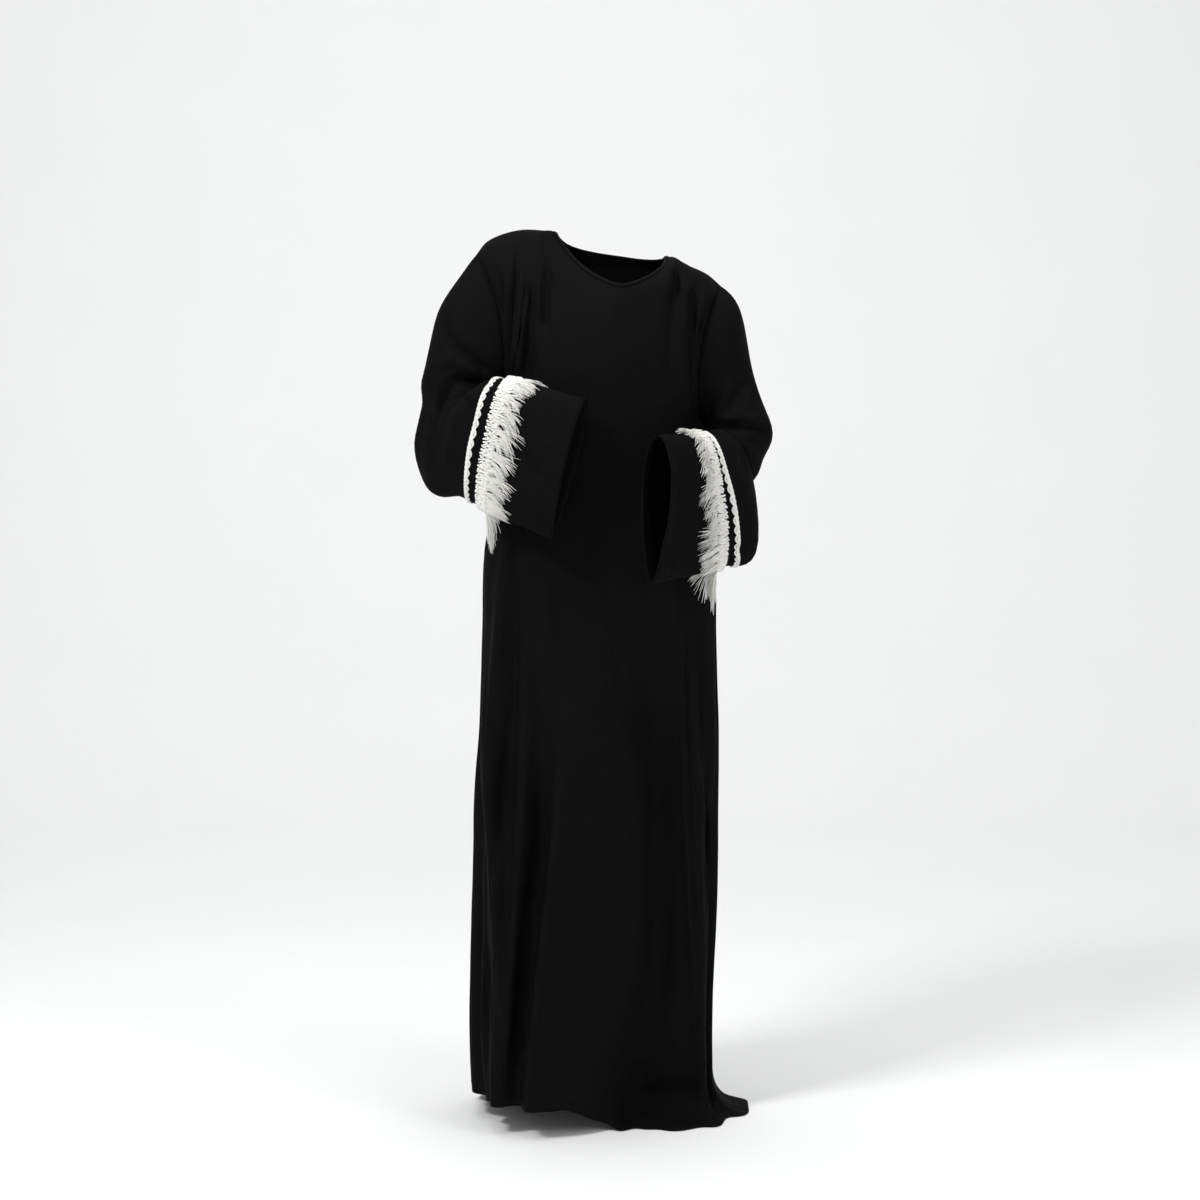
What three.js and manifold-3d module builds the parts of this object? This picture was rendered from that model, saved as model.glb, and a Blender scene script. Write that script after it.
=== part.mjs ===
// A plain black prayer dress, cut long and closed: a front and a back panel from neck to hem, two wide sleeves
// with an off-white braid and fringe near the cuff, and a narrow bound neck. It keeps the hollow form it has
// when worn, with both forearms raised in front of the waist and its hem on the floor.
//
// Millimetres. X points to the wearer's left, the front faces -Y and +Z is up. The origin is the middle of the
// shoulder line at the base of the neck, where the garment is held up.
import * as THREE from 'three';
import Module from 'manifold-3d';

const wasm = await Module();
wasm.setup();

// Sizes of the cloth and of the sewn pieces.
const FLOOR = -1455; // height of the floor below the shoulder line
const WALL = 2; // thickness of a panel
const SEAM_GAP = 0.3; // two sewn pieces stay this far apart
const HEM_START = -1300; // below this height the cloth may hang short or lie on the floor
const BINDING_WIDTH = 6;
const BINDING_THICK = 3.4;
const BRAID_WIDTH = 13;
const BRAID_THICK = 2.6;
const BLACK_STRIPE = 12; // cloth that shows between the braid and the fringe
const HEAD_WIDTH = 20; // heading of the fringe
const HEAD_THICK = 5;
const TRIM_TO_CUFF = 166; // from the elbow side of the braid to the edge of the cuff
const LOCKS = 56; // locks of fringe round one sleeve
const LOCK_LENGTH = 44;
const LOCK_WIDTH = 4.6;

// How finely each piece is divided.
const ACROSS = 34; // columns of a panel
const NECK_FROM = 10; // the column where the neckline begins
const NECK_TO = 25; // the column where it ends
const UPPER_ROWS = 11; // rows from underarm to shoulder
const LOWER_ROWS = 11; // rows from underarm to HEM_START
const HEM_ROWS = 5;
const SLEEVE_ROUND = 2 * UPPER_ROWS;
const SLEEVE_UPPER_RINGS = 12; // rings from the armhole to the braid
const SLEEVE_CUFF_RINGS = 3; // rings from the fringe heading to the cuff

// The body below the underarm, a row for each height. zRight and zLeft differ because one shoulder is lower.
// right and left are the side seams, sideY how far back they lie, and the front is given near its two sides.
const BODY = [
  { zRight: -262, zLeft: -290, right: -165, left: 165, sideY: 12, frontRight: -128, frontLeft: -128, back: 106 },
  { zRight: -340, zLeft: -360, right: -166, left: 168, sideY: 8, frontRight: -118, frontLeft: -116, back: 101 },
  { zRight: -430, zLeft: -440, right: -178, left: 178, sideY: 5, frontRight: -112, frontLeft: -110, back: 104 },
  { zRight: -518, zLeft: -518, right: -192, left: 191, sideY: 5, frontRight: -112, frontLeft: -108, back: 112 },
  { zRight: -600, zLeft: -600, right: -195, left: 193, sideY: 8, frontRight: -113, frontLeft: -104, back: 122 },
  { zRight: -700, zLeft: -700, right: -198, left: 195, sideY: 14, frontRight: -114, frontLeft: -94, back: 134 },
  { zRight: -800, zLeft: -800, right: -202, left: 198, sideY: 22, frontRight: -115, frontLeft: -80, back: 147 },
  { zRight: -900, zLeft: -900, right: -209, left: 198, sideY: 32, frontRight: -115, frontLeft: -62, back: 162 },
  { zRight: -1000, zLeft: -1000, right: -212, left: 198, sideY: 44, frontRight: -113, frontLeft: -42, back: 178 },
  { zRight: -1100, zLeft: -1100, right: -216, left: 197, sideY: 58, frontRight: -110, frontLeft: -18, back: 195 },
  { zRight: -1200, zLeft: -1200, right: -219, left: 193, sideY: 72, frontRight: -107, frontLeft: 6, back: 212 },
  { zRight: -1300, zLeft: -1300, right: -221, left: 190, sideY: 84, frontRight: -104, frontLeft: 30, back: 230 },
  { zRight: -1400, zLeft: -1400, right: -218, left: 191, sideY: 93, frontRight: -102, frontLeft: 50, back: 250 },
  { zRight: -1455, zLeft: -1455, right: -212, left: 193, sideY: 98, frontRight: -100, frontLeft: 62, back: 262 },
];
const SQUARENESS = 2.2; // 2 is an ellipse, more is squarer

// The two armholes, from the underarm to the top of the shoulder. bulge is how far the seam bows to the front
// and the back, and inset how far it bows in toward the chest.
const ARMHOLES = {
  right: { underarm: [-165, 12, -262], shoulder: [-205, 15, -15], bulge: 74, inset: 26 },
  left: { underarm: [165, 12, -290], shoulder: [200, 20, -65], bulge: 72, inset: 20 },
};
const ARMHOLE_REACH = 0.38; // share of a panel's width that bends to follow an armhole
const TURN_AT_SHOULDER = 90; // degrees by which a column turns over between underarm and seam
const TURN_AT_NECK = { front: 42, back: 58 }; // the same in the middle of the neckline
const NECK_FLARE = 170; // how strongly the columns spread out below the sides of the neckline
const FULLNESS = { front: -7, back: 10 }; // how far the chest and the shoulder blades round out

// The upper edge of each panel: along one shoulder seam, round the neck and along the other shoulder seam.
const SHOULDER_RIGHT = [
  { x: -205, y: 15, z: -15 },
  { x: -189, y: 14, z: 6 },
  { x: -164, y: 12, z: 19 },
  { x: -130, y: 10, z: 27 },
  { x: -100, y: 7, z: 26 },
  { x: -77, y: 5, z: 23 },
];
const SHOULDER_LEFT = [
  { x: 112, y: 7, z: -17 },
  { x: 142, y: 12, z: -31 },
  { x: 176, y: 17, z: -45 },
  { x: 200, y: 20, z: -65 },
];
const NECKLINE = {
  front: [
    { x: -77, y: 5, z: 23 },
    { x: -64, y: -16, z: 2 },
    { x: -47, y: -50, z: -26 },
    { x: -16, y: -82, z: -58 },
    { x: 26, y: -100, z: -73 },
    { x: 35, y: -101, z: -75 },
    { x: 44, y: -100, z: -73 },
    { x: 90, y: -86, z: -59 },
    { x: 107, y: -55, z: -35 },
    { x: 112, y: 7, z: -17 },
  ],
  back: [
    { x: -77, y: 5, z: 23 },
    { x: -66, y: 38, z: 8 },
    { x: -38, y: 64, z: -6 },
    { x: 18, y: 76, z: -14 },
    { x: 72, y: 66, z: -22 },
    { x: 103, y: 40, z: -23 },
    { x: 112, y: 7, z: -17 },
  ],
};

// Folds of the body. Angles are in degrees round it: 0 is the right side seam, 90 the middle of the front, 180
// the left side seam and 270 the middle of the back. Each fold is given at four heights, and rise is how far
// it stands out, or how deep it is where that is negative.
const FOLD_HEIGHTS = [-520, -800, -1100, -1400];
const SKIRT_FOLDS = [
  { angles: [39, 34, 43, 44], from: -430, fade: 160, rise: 11, width: 38 },
  { angles: [54, 58, 54, 47], from: -430, fade: 200, rise: 9, width: 34 },
  { angles: [47, 46, 36, 34], from: -480, fade: 200, rise: -9, width: 26 },
  { angles: [66, 66, 62, 54], from: -690, fade: 260, rise: -22, width: 34 },
  { angles: [76, 76, 70, 62], from: -700, fade: 240, rise: 15, width: 40 },
  { angles: [84, 95, 103, 92], from: -520, fade: 300, rise: 13, width: 100 },
  { angles: [106, 114, 121, 106], from: -560, fade: 320, rise: -17, width: 62 },
  { angles: [126, 132, 145, 152], from: -470, fade: 200, rise: 13, width: 46 },
  { angles: [144, 150, 164, 168], from: -520, fade: 300, rise: -12, width: 34 },
  { angles: [20, 16, 14, 20], from: -900, fade: 300, rise: -24, width: 40 },
  { angles: [198, 200, 202, 200], from: -600, fade: 300, rise: 12, width: 50 },
  { angles: [220, 221, 220, 218], from: -620, fade: 320, rise: -15, width: 40 },
  { angles: [238, 240, 239, 242], from: -560, fade: 360, rise: 17, width: 56 },
  { angles: [260, 262, 264, 262], from: -640, fade: 300, rise: -19, width: 44 },
  { angles: [281, 283, 288, 286], from: -600, fade: 340, rise: 18, width: 60 },
  { angles: [306, 305, 309, 311], from: -660, fade: 300, rise: -17, width: 42 },
  { angles: [326, 328, 331, 330], from: -580, fade: 320, rise: 14, width: 50 },
];

// Folds of the chest and of the shoulder blades, each a straight line between two heights.
const CHEST_FOLDS = [
  { top: -5, low: -230, angleTop: 42, angleLow: 25, rise: -9, width: 20 },
  { top: -20, low: -240, angleTop: 56, angleLow: 44, rise: -7, width: 30 },
  { top: -45, low: -150, angleTop: 63, angleLow: 58, rise: -4, width: 18 },
  { top: -30, low: -240, angleTop: 138, angleLow: 142, rise: 6, width: 30 },
  { top: -60, low: -280, angleTop: 155, angleLow: 162, rise: -9, width: 24 },
  { top: -70, low: -330, angleTop: 214, angleLow: 206, rise: -8, width: 30 },
  { top: -60, low: -420, angleTop: 322, angleLow: 332, rise: -9, width: 32 },
  { top: -150, low: -520, angleTop: 268, angleLow: 272, rise: -6, width: 60 },
];

// What each stretch of hem has beyond the bend at the floor, by angle. Less than nothing hangs clear of the
// floor, and more than the bend lies on it. radius is how softly it bends there.
const HEM = [
  { angle: 0, excess: -12, radius: 26 },
  { angle: 20, excess: -16, radius: 24 },
  { angle: 45, excess: -22, radius: 24 },
  { angle: 80, excess: -22, radius: 24 },
  { angle: 92, excess: 4, radius: 24 },
  { angle: 103, excess: 62, radius: 24 },
  { angle: 112, excess: 90, radius: 25 },
  { angle: 125, excess: 110, radius: 26 },
  { angle: 145, excess: 92, radius: 30 },
  { angle: 162, excess: 76, radius: 42 },
  { angle: 180, excess: 96, radius: 60 },
  { angle: 193, excess: 100, radius: 62 },
  { angle: 206, excess: 60, radius: 48 },
  { angle: 225, excess: 38, radius: 32 },
  { angle: 270, excess: 46, radius: 32 },
  { angle: 315, excess: 38, radius: 32 },
  { angle: 335, excess: 24, radius: 30 },
  { angle: 348, excess: 0, radius: 28 },
  { angle: 360, excess: -12, radius: 26 },
];

// The sleeves from just below the armhole to the cuff. outer runs over the shoulder and the elbow and along the
// underside of the forearm, inner runs from the underarm over the crook and along the top of the forearm.
// thickOuter and thickInner are the half thickness of the tube near each.
const SLEEVES = {
  right: [
    { outer: [-240, 15, -65], inner: [-172, 9, -269], thickOuter: 66, thickInner: 56 },
    { outer: [-268, 14, -112], inner: [-173, 5, -273], thickOuter: 60, thickInner: 50 },
    { outer: [-284, 12, -183], inner: [-174, -4, -273], thickOuter: 54, thickInner: 47 },
    { outer: [-295, 10, -228], inner: [-175, -18, -267], thickOuter: 50, thickInner: 45 },
    { outer: [-289, 8, -278], inner: [-176, -38, -259], thickOuter: 48, thickInner: 44 },
    { outer: [-298, 5, -335], inner: [-177, -60, -248], thickOuter: 46, thickInner: 43 },
    { outer: [-287, -6, -388], inner: [-179, -82, -238], thickOuter: 40, thickInner: 42 },
    { outer: [-263, -36, -412], inner: [-180, -99, -229], thickOuter: 34, thickInner: 41 },
    { outer: [-229, -70, -410], inner: [-178, -112, -225], thickOuter: 28, thickInner: 40 },
    { outer: [-210, -88, -418], inner: [-164, -125, -222], thickOuter: 26, thickInner: 40 },
    { outer: [-180, -112, -432], inner: [-130, -142, -226], thickOuter: 24, thickInner: 39 },
    { outer: [-145, -136, -449], inner: [-92, -156, -236], thickOuter: 22, thickInner: 38 },
    { outer: [-110, -156, -463], inner: [-56, -165, -246], thickOuter: 21, thickInner: 37 },
    { outer: [-74, -172, -477], inner: [-20, -172, -255], thickOuter: 20, thickInner: 36 },
  ],
  left: [
    { outer: [229, 20, -101], inner: [171, 11, -297], thickOuter: 64, thickInner: 56 },
    { outer: [241, 20, -147], inner: [172, 8, -303], thickOuter: 58, thickInner: 50 },
    { outer: [249, 19, -195], inner: [173, 2, -305], thickOuter: 54, thickInner: 47 },
    { outer: [262, 18, -247], inner: [174, -8, -306], thickOuter: 50, thickInner: 45 },
    { outer: [281, 15, -307], inner: [175, -22, -307], thickOuter: 48, thickInner: 44 },
    { outer: [270, 8, -348], inner: [177, -42, -307], thickOuter: 46, thickInner: 43 },
    { outer: [247, -12, -385], inner: [180, -64, -306], thickOuter: 39, thickInner: 42 },
    { outer: [229, -33, -415], inner: [181, -84, -304], thickOuter: 33, thickInner: 41 },
    { outer: [238, -46, -455], inner: [179, -101, -304], thickOuter: 30, thickInner: 41 },
    { outer: [248, -56, -494], inner: [175, -114, -306], thickOuter: 29, thickInner: 40 },
    { outer: [238, -76, -520], inner: [169, -125, -308], thickOuter: 28, thickInner: 40 },
    { outer: [203, -102, -522], inner: [162, -134, -309], thickOuter: 25, thickInner: 39 },
    { outer: [182, -122, -527], inner: [147, -152, -309], thickOuter: 24, thickInner: 38 },
    { outer: [150, -156, -533], inner: [128, -180, -310], thickOuter: 22, thickInner: 37 },
    { outer: [114, -192, -539], inner: [108, -207, -312], thickOuter: 21, thickInner: 36 },
    { outer: [78, -228, -545], inner: [90, -232, -314], thickOuter: 20, thickInner: 35 },
  ],
};

// Creases of the sleeves between two points. along is the share of the way from armhole to cuff, and angle is
// 0 at the outer edge, 90 in front, 180 at the crook and 270 behind.
const SLEEVE_FOLDS = {
  right: [
    { alongA: 0.24, angleA: 25, alongB: 0.36, angleB: 150, rise: -9, width: 26 },
    { alongA: 0.3, angleA: 110, alongB: 0.46, angleB: 30, rise: -8, width: 24 },
    { alongA: 0.42, angleA: 165, alongB: 0.54, angleB: 60, rise: -7, width: 26 },
    { alongA: 0.28, angleA: 320, alongB: 0.4, angleB: 215, rise: -8, width: 28 },
    { alongA: 0.62, angleA: 120, alongB: 0.95, angleB: 70, rise: -4, width: 34 },
  ],
  left: [
    { alongA: 0.34, angleA: 15, alongB: 0.38, angleB: 160, rise: -9, width: 24 },
    { alongA: 0.16, angleA: 60, alongB: 0.32, angleB: 130, rise: -6, width: 28 },
    { alongA: 0.48, angleA: 10, alongB: 0.46, angleB: 130, rise: -7, width: 26 },
    { alongA: 0.34, angleA: 325, alongB: 0.4, angleB: 215, rise: -8, width: 28 },
    { alongA: 0.66, angleA: 130, alongB: 0.95, angleB: 60, rise: -4, width: 34 },
  ],
};

const degrees = (value) => (value * Math.PI) / 180;
const mix = (a, b, t) => a + (b - a) * t;
const clamp = (value, low, high) => Math.min(high, Math.max(low, value));

function ease(from, to, value) {
  const t = clamp((value - from) / (to - from), 0, 1);
  return t * t * (3 - 2 * t);
}

function vector(values) {
  return new THREE.Vector3(values[0], values[1], values[2]);
}

// A smooth curve through four neighbouring values, t of the way from the second to the third.
function throughFour(a, b, c, d, t) {
  const rise = (c - a) / 2;
  const fall = (d - b) / 2;
  const bend = t * t * t;
  const square = t * t;
  const near = 2 * bend - 3 * square + 1;
  const far = 3 * square - 2 * bend;
  return near * b + far * c + (bend - 2 * square + t) * rise + (bend - square) * fall;
}

// One column of a table, read smoothly at a share of the way down it.
function column(rows, read, share) {
  const last = rows.length - 1;
  const at = clamp(share, 0, 1) * last;
  const row = Math.min(Math.floor(at), last - 1);
  const value = (index) => read(rows[clamp(index, 0, last)]);
  const before = row > 0 ? value(row - 1) : 2 * value(0) - value(1);
  const after = row + 2 <= last ? value(row + 2) : 2 * value(last) - value(last - 1);
  return throughFour(before, value(row), value(row + 1), after, at - row);
}

function pointOn(rows, share) {
  return new THREE.Vector3(
    column(rows, (row) => row.x, share),
    column(rows, (row) => row.y, share),
    column(rows, (row) => row.z, share),
  );
}

// A table of angles and values, read smoothly at an angle.
function byAngle(rows, key, angle) {
  const index = rows.findIndex((row) => row.angle >= angle);
  if (index <= 0) return rows[0][key];
  const before = rows[index - 1];
  const after = rows[index];
  return mix(before[key], after[key], ease(before.angle, after.angle, angle));
}

// How strongly a fold of this width acts at a distance across it.
function foldShape(distance, width) {
  return Math.exp(-2.8 * (distance / width) ** 2);
}

// The smaller angle between two directions round the body, in degrees.
function turnBetween(a, b) {
  const turn = Math.abs(a - b) % 360;
  return Math.min(turn, 360 - turn);
}

function bodyFolds(angle, z, halfWidth) {
  let height = 0;
  const share = (FOLD_HEIGHTS[0] - z) / (FOLD_HEIGHTS[0] - FOLD_HEIGHTS[3]);
  for (const fold of SKIRT_FOLDS) {
    const at = column(fold.angles, (value) => value, share);
    const distance = degrees(turnBetween(angle, at)) * halfWidth;
    height += fold.rise * ease(fold.from, fold.from - fold.fade, z) * foldShape(distance, fold.width);
  }
  for (const fold of CHEST_FOLDS) {
    const down = (fold.top - z) / (fold.top - fold.low);
    const at = mix(fold.angleTop, fold.angleLow, clamp(down, 0, 1));
    const strength = ease(-0.25, 0.3, down) * ease(1.3, 0.7, down);
    const distance = degrees(turnBetween(angle, at)) * halfWidth;
    height += fold.rise * strength * foldShape(distance, fold.width);
  }
  return height;
}

// A point of a row that bows from one side over the middle to the other, u of the way across.
function acrossRow(sideA, sideB, middle, u) {
  const turn = Math.PI * u;
  const power = 2 / SQUARENESS;
  const swing = (1 - Math.sign(Math.cos(turn)) * Math.abs(Math.cos(turn)) ** power) / 2;
  const bow = Math.sin(turn) ** power;
  const point = sideA.clone().lerp(sideB, swing);
  const centre = sideA.clone().lerp(sideB, 0.5);
  point.x += (middle.x - centre.x) * bow * bow;
  point.y += (middle.y - centre.y) * bow;
  point.z += (middle.z - centre.z) * bow * bow;
  return point;
}

// The armhole seam on one side, from underarm to shoulder, in front or behind.
function armholePoint(side, facing, share) {
  const { underarm, shoulder, bulge, inset } = ARMHOLES[side];
  const point = vector(underarm).lerp(vector(shoulder), mix(share, (1 - Math.cos(Math.PI * share)) / 2, 0.6));
  const bow = Math.sin(Math.PI * share);
  const inward = side === 'right' ? 1 : -1;
  point.x += inward * inset * bow;
  point.y += (facing === 'front' ? -bulge : bulge) * bow;
  return point;
}

function bodyRowAt(share) {
  const row = {};
  for (const key of Object.keys(BODY[0])) row[key] = column(BODY, (entry) => entry[key], share);
  return row;
}

// Horizontal direction away from the body at an angle round it.
function outwardAt(row, facing, u) {
  const turn = Math.PI * u;
  const middleY = middleOf(row, facing, u);
  const halfWidth = (row.left - row.right) / 2;
  const depth = Math.max(Math.abs(middleY - row.sideY), 20);
  const front = facing === 'front' ? -1 : 1;
  return new THREE.Vector3(-Math.cos(turn) / halfWidth, (front * Math.sin(turn)) / depth, 0).normalize();
}

function middleOf(row, facing, u) {
  if (facing === 'back') return row.back;
  return mix(row.frontRight, row.frontLeft, ease(0.36, 0.68, u));
}

function angleOf(facing, u) {
  return facing === 'front' ? 180 * u : 360 - 180 * u;
}

// The body below the underarm, before its folds.
function bareBody(row, facing, u) {
  const sideA = new THREE.Vector3(row.right, row.sideY, row.zRight);
  const sideB = new THREE.Vector3(row.left, row.sideY, row.zLeft);
  const middle = new THREE.Vector3(
    (row.right + row.left) / 2,
    middleOf(row, facing, u),
    (row.zRight + row.zLeft) / 2,
  );
  return acrossRow(sideA, sideB, middle, u);
}

function foldedBody(row, facing, u) {
  const point = bareBody(row, facing, u);
  const halfWidth = (row.left - row.right) / 2;
  const height = bodyFolds(angleOf(facing, u), point.z, halfWidth);
  return point.addScaledVector(outwardAt(row, facing, u), height);
}

// The share of the BODY table at a height below its first rows, where each row is level.
function shareAtHeight(z) {
  let low = 0;
  let high = 1;
  for (let step = 0; step < 40; step += 1) {
    const middle = (low + high) / 2;
    if (column(BODY, (entry) => entry.zRight, middle) > z) low = middle;
    else high = middle;
  }
  return (low + high) / 2;
}

// The hem, share of the way from HEM_START along the cloth to its edge: down, round the bend, along the floor.
function hemPoint(facing, u, share) {
  const angle = angleOf(facing, u);
  const excess = byAngle(HEM, 'excess', angle);
  const radius = byAngle(HEM, 'radius', angle);
  const floorTop = FLOOR + WALL;
  const bendTop = floorTop + radius;
  const drop = HEM_START - bendTop;
  const along = share * (drop + excess);
  if (along <= drop) return foldedBody(bodyRowAt(shareAtHeight(HEM_START - along)), facing, u);
  const row = bodyRowAt(shareAtHeight(bendTop));
  const start = foldedBody(row, facing, u);
  const outward = outwardAt(row, facing, u);
  const turn = Math.min((along - drop) / radius, Math.PI / 2);
  const flat = Math.max(along - drop - (radius * Math.PI) / 2, 0);
  const point = start.addScaledVector(outward, radius * (1 - Math.cos(turn)) + flat);
  point.z = floorTop + radius * (1 - Math.sin(turn));
  return point;
}

// The body from underarm to shoulder and neck: each column rounds over the chest or the shoulder blade, and the
// outer columns bend to follow the armholes.
function upperBody(facing, u, share) {
  const neckMiddle = (NECK_FROM + NECK_TO) / 2;
  const fromMiddle = Math.abs(u * ACROSS - neckMiddle);
  const fullTurn = mix(TURN_AT_NECK[facing], TURN_AT_SHOULDER, ease(0, NECK_TO - neckMiddle, fromMiddle));
  const rounded = (bottom, top) => {
    const end = degrees(fullTurn);
    const point = bottom.clone().lerp(top, (1 - Math.cos(end * share)) / (1 - Math.cos(end)));
    point.z = mix(bottom.z, top.z, Math.sin(end * share) / Math.sin(end));
    return point;
  };
  const firstRow = bodyRowAt(0);
  const point = rounded(bareBody(firstRow, facing, u), upperEdge(facing, u));
  for (const [side, at, across] of [['right', 0, u], ['left', 1, 1 - u]]) {
    const edge = rounded(bareBody(firstRow, facing, at), upperEdge(facing, at));
    const bend = armholePoint(side, facing, share).sub(edge);
    point.addScaledVector(bend, ease(ARMHOLE_REACH, 0, across));
  }
  point.x -= NECK_FLARE * Math.sin(2 * Math.PI * u) * share ** 4 * (1 - share);
  point.y += FULLNESS[facing] * Math.sin(Math.PI * share) * Math.sin(Math.PI * u) ** 2;
  const halfWidth = (firstRow.left - firstRow.right) / 2;
  const height = bodyFolds(angleOf(facing, u), point.z, halfWidth) * (1 - share ** 4);
  const outward = new THREE.Vector3(-Math.cos(Math.PI * u), facing === 'front' ? -1 : 1, 0).normalize();
  const seam = ease(0, 0.06, u) * ease(1, 0.94, u);
  return point.addScaledVector(outward, height * seam);
}

function upperEdge(facing, u) {
  const at = u * ACROSS;
  if (at <= NECK_FROM) return pointOn(SHOULDER_RIGHT, at / NECK_FROM);
  if (at >= NECK_TO) return pointOn(SHOULDER_LEFT, (at - NECK_TO) / (ACROSS - NECK_TO));
  return pointOn(NECKLINE[facing], (at - NECK_FROM) / (NECK_TO - NECK_FROM));
}

// A panel's outer points, rows from the hem up to the shoulder.
function panelGrid(facing) {
  const rows = [];
  const rowOf = (make) => Array.from({ length: ACROSS + 1 }, (_, index) => make(index / ACROSS));
  for (let row = 0; row < HEM_ROWS; row += 1) {
    rows.push(rowOf((u) => hemPoint(facing, u, 1 - row / HEM_ROWS)));
  }
  const hemShare = shareAtHeight(HEM_START);
  for (let row = 0; row < LOWER_ROWS; row += 1) {
    const body = bodyRowAt(hemShare * (1 - row / LOWER_ROWS));
    rows.push(rowOf((u) => foldedBody(body, facing, u)));
  }
  for (let row = 0; row <= UPPER_ROWS; row += 1) {
    rows.push(rowOf((u) => upperBody(facing, u, row / UPPER_ROWS)));
  }
  return rows;
}

// The armhole as a closed ring, from the shoulder down the front to the underarm and up the back.
function armholeRing(side, round) {
  const half = SLEEVE_ROUND / 2;
  if (round <= half) return armholePoint(side, 'front', 1 - round / half);
  return armholePoint(side, 'back', (round - half) / half);
}

// A sleeve's row read at a share of the table.
function sleeveRowAt(side, share) {
  const rows = SLEEVES[side];
  const read = (key, axis) => column(rows, (row) => row[key][axis], share);
  return {
    outer: new THREE.Vector3(read('outer', 0), read('outer', 1), read('outer', 2)),
    inner: new THREE.Vector3(read('inner', 0), read('inner', 1), read('inner', 2)),
    thickOuter: column(rows, (row) => row.thickOuter, share),
    thickInner: column(rows, (row) => row.thickInner, share),
  };
}

function sleeveCentre(side, share) {
  const row = sleeveRowAt(side, share);
  return row.outer.add(row.inner).multiplyScalar(0.5);
}

// Direction from the front to the back of the tube at a share of the table.
function sleeveBackward(side, share) {
  const step = 0.03;
  const ahead = sleeveCentre(side, Math.min(share + step, 1));
  const axis = ahead.sub(sleeveCentre(side, Math.max(share - step, 0)));
  const row = sleeveRowAt(side, share);
  const backward = axis.cross(row.outer.sub(row.inner)).normalize();
  return side === 'right' ? backward : backward.negate();
}

function sleeveFolds(side, along, angle) {
  let height = 0;
  for (const fold of SLEEVE_FOLDS[side]) {
    const length = 560;
    const girth = 1.15;
    const start = new THREE.Vector2(fold.alongA * length, fold.angleA * girth);
    const line = new THREE.Vector2(fold.alongB * length, fold.angleB * girth).sub(start);
    const here = new THREE.Vector2(along * length, angle * girth).sub(start);
    const share = clamp(here.dot(line) / line.lengthSq(), 0, 1);
    height += fold.rise * foldShape(here.sub(line.multiplyScalar(share)).length(), fold.width);
  }
  return height;
}

// A point of the sleeve below its first table row.
function sleevePoint(side, share, round) {
  const angle = (360 * round) / SLEEVE_ROUND;
  const turn = degrees(angle);
  const row = sleeveRowAt(side, share);
  const toOuter = row.outer.clone().sub(row.inner).multiplyScalar(0.5);
  const centre = row.outer.clone().add(row.inner).multiplyScalar(0.5);
  const backward = sleeveBackward(side, share);
  const thick = mix(row.thickInner, row.thickOuter, (1 + Math.cos(turn)) / 2);
  const height = sleeveFolds(side, share, angle);
  const point = centre.addScaledVector(toOuter, Math.cos(turn));
  const reach = -Math.sin(turn) * (thick + height * Math.abs(Math.sin(turn)));
  point.addScaledVector(backward, reach);
  return point.addScaledVector(toOuter.normalize(), height * Math.cos(turn) * 0.5);
}

// Shares of the sleeve table that lie at given distances from the cuff, measured along the middle of the tube.
function sharesFromCuff(side, distances) {
  const steps = 400;
  const lengths = [0];
  for (let step = 1; step <= steps; step += 1) {
    const here = sleeveCentre(side, 1 - step / steps);
    const before = sleeveCentre(side, 1 - (step - 1) / steps);
    lengths.push(lengths[step - 1] + here.distanceTo(before));
  }
  return distances.map((distance) => {
    const step = lengths.findIndex((length) => length >= distance);
    if (step <= 0) return 1;
    const extra = (distance - lengths[step - 1]) / (lengths[step] - lengths[step - 1]);
    return 1 - (step - 1 + extra) / steps;
  });
}

// Where the trim lies on a sleeve, as distances from the cuff.
const BRAID_AT = [TRIM_TO_CUFF, TRIM_TO_CUFF - BRAID_WIDTH];
const HEAD_AT = [BRAID_AT[1] - BLACK_STRIPE, BRAID_AT[1] - BLACK_STRIPE - HEAD_WIDTH];

// A sleeve's outer points, rings from the armhole to the cuff. The trim's edges lie on rings of their own.
function sleeveGrid(side) {
  const rings = [];
  const ringOf = (make) => Array.from({ length: SLEEVE_ROUND }, (_, round) => make(round));
  rings.push(ringOf((round) => armholeRing(side, round)));
  const [braidFrom] = sharesFromCuff(side, [BRAID_AT[0]]);
  for (let ring = 0; ring < SLEEVE_UPPER_RINGS; ring += 1) {
    const share = (braidFrom * ring) / SLEEVE_UPPER_RINGS;
    rings.push(ringOf((round) => sleevePoint(side, share, round)));
  }
  const distances = [...BRAID_AT, ...HEAD_AT];
  for (let ring = 1; ring <= SLEEVE_CUFF_RINGS; ring += 1) {
    distances.push(HEAD_AT[1] * (1 - ring / SLEEVE_CUFF_RINGS));
  }
  for (const share of sharesFromCuff(side, distances)) {
    rings.push(ringOf((round) => sleevePoint(side, share, round)));
  }
  return rings;
}
const BRAID_RING = 1 + SLEEVE_UPPER_RINGS;
const HEAD_RING = BRAID_RING + 2;

// Triangles of a grid, as pairs of corners. closed joins the last column to the first.
function gridFaces(rowCount, columnCount, closed) {
  const faces = [];
  const wide = closed ? columnCount : columnCount - 1;
  for (let row = 0; row + 1 < rowCount; row += 1) {
    for (let col = 0; col < wide; col += 1) {
      const next = (col + 1) % columnCount;
      const a = row * columnCount + col;
      const b = row * columnCount + next;
      const c = (row + 1) * columnCount + next;
      const d = (row + 1) * columnCount + col;
      faces.push([a, b, c], [a, c, d]);
    }
  }
  return faces;
}

const keyOf = (point) => [point.x, point.y, point.z].map((value) => Math.round(value * 100)).join(' ');

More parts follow.
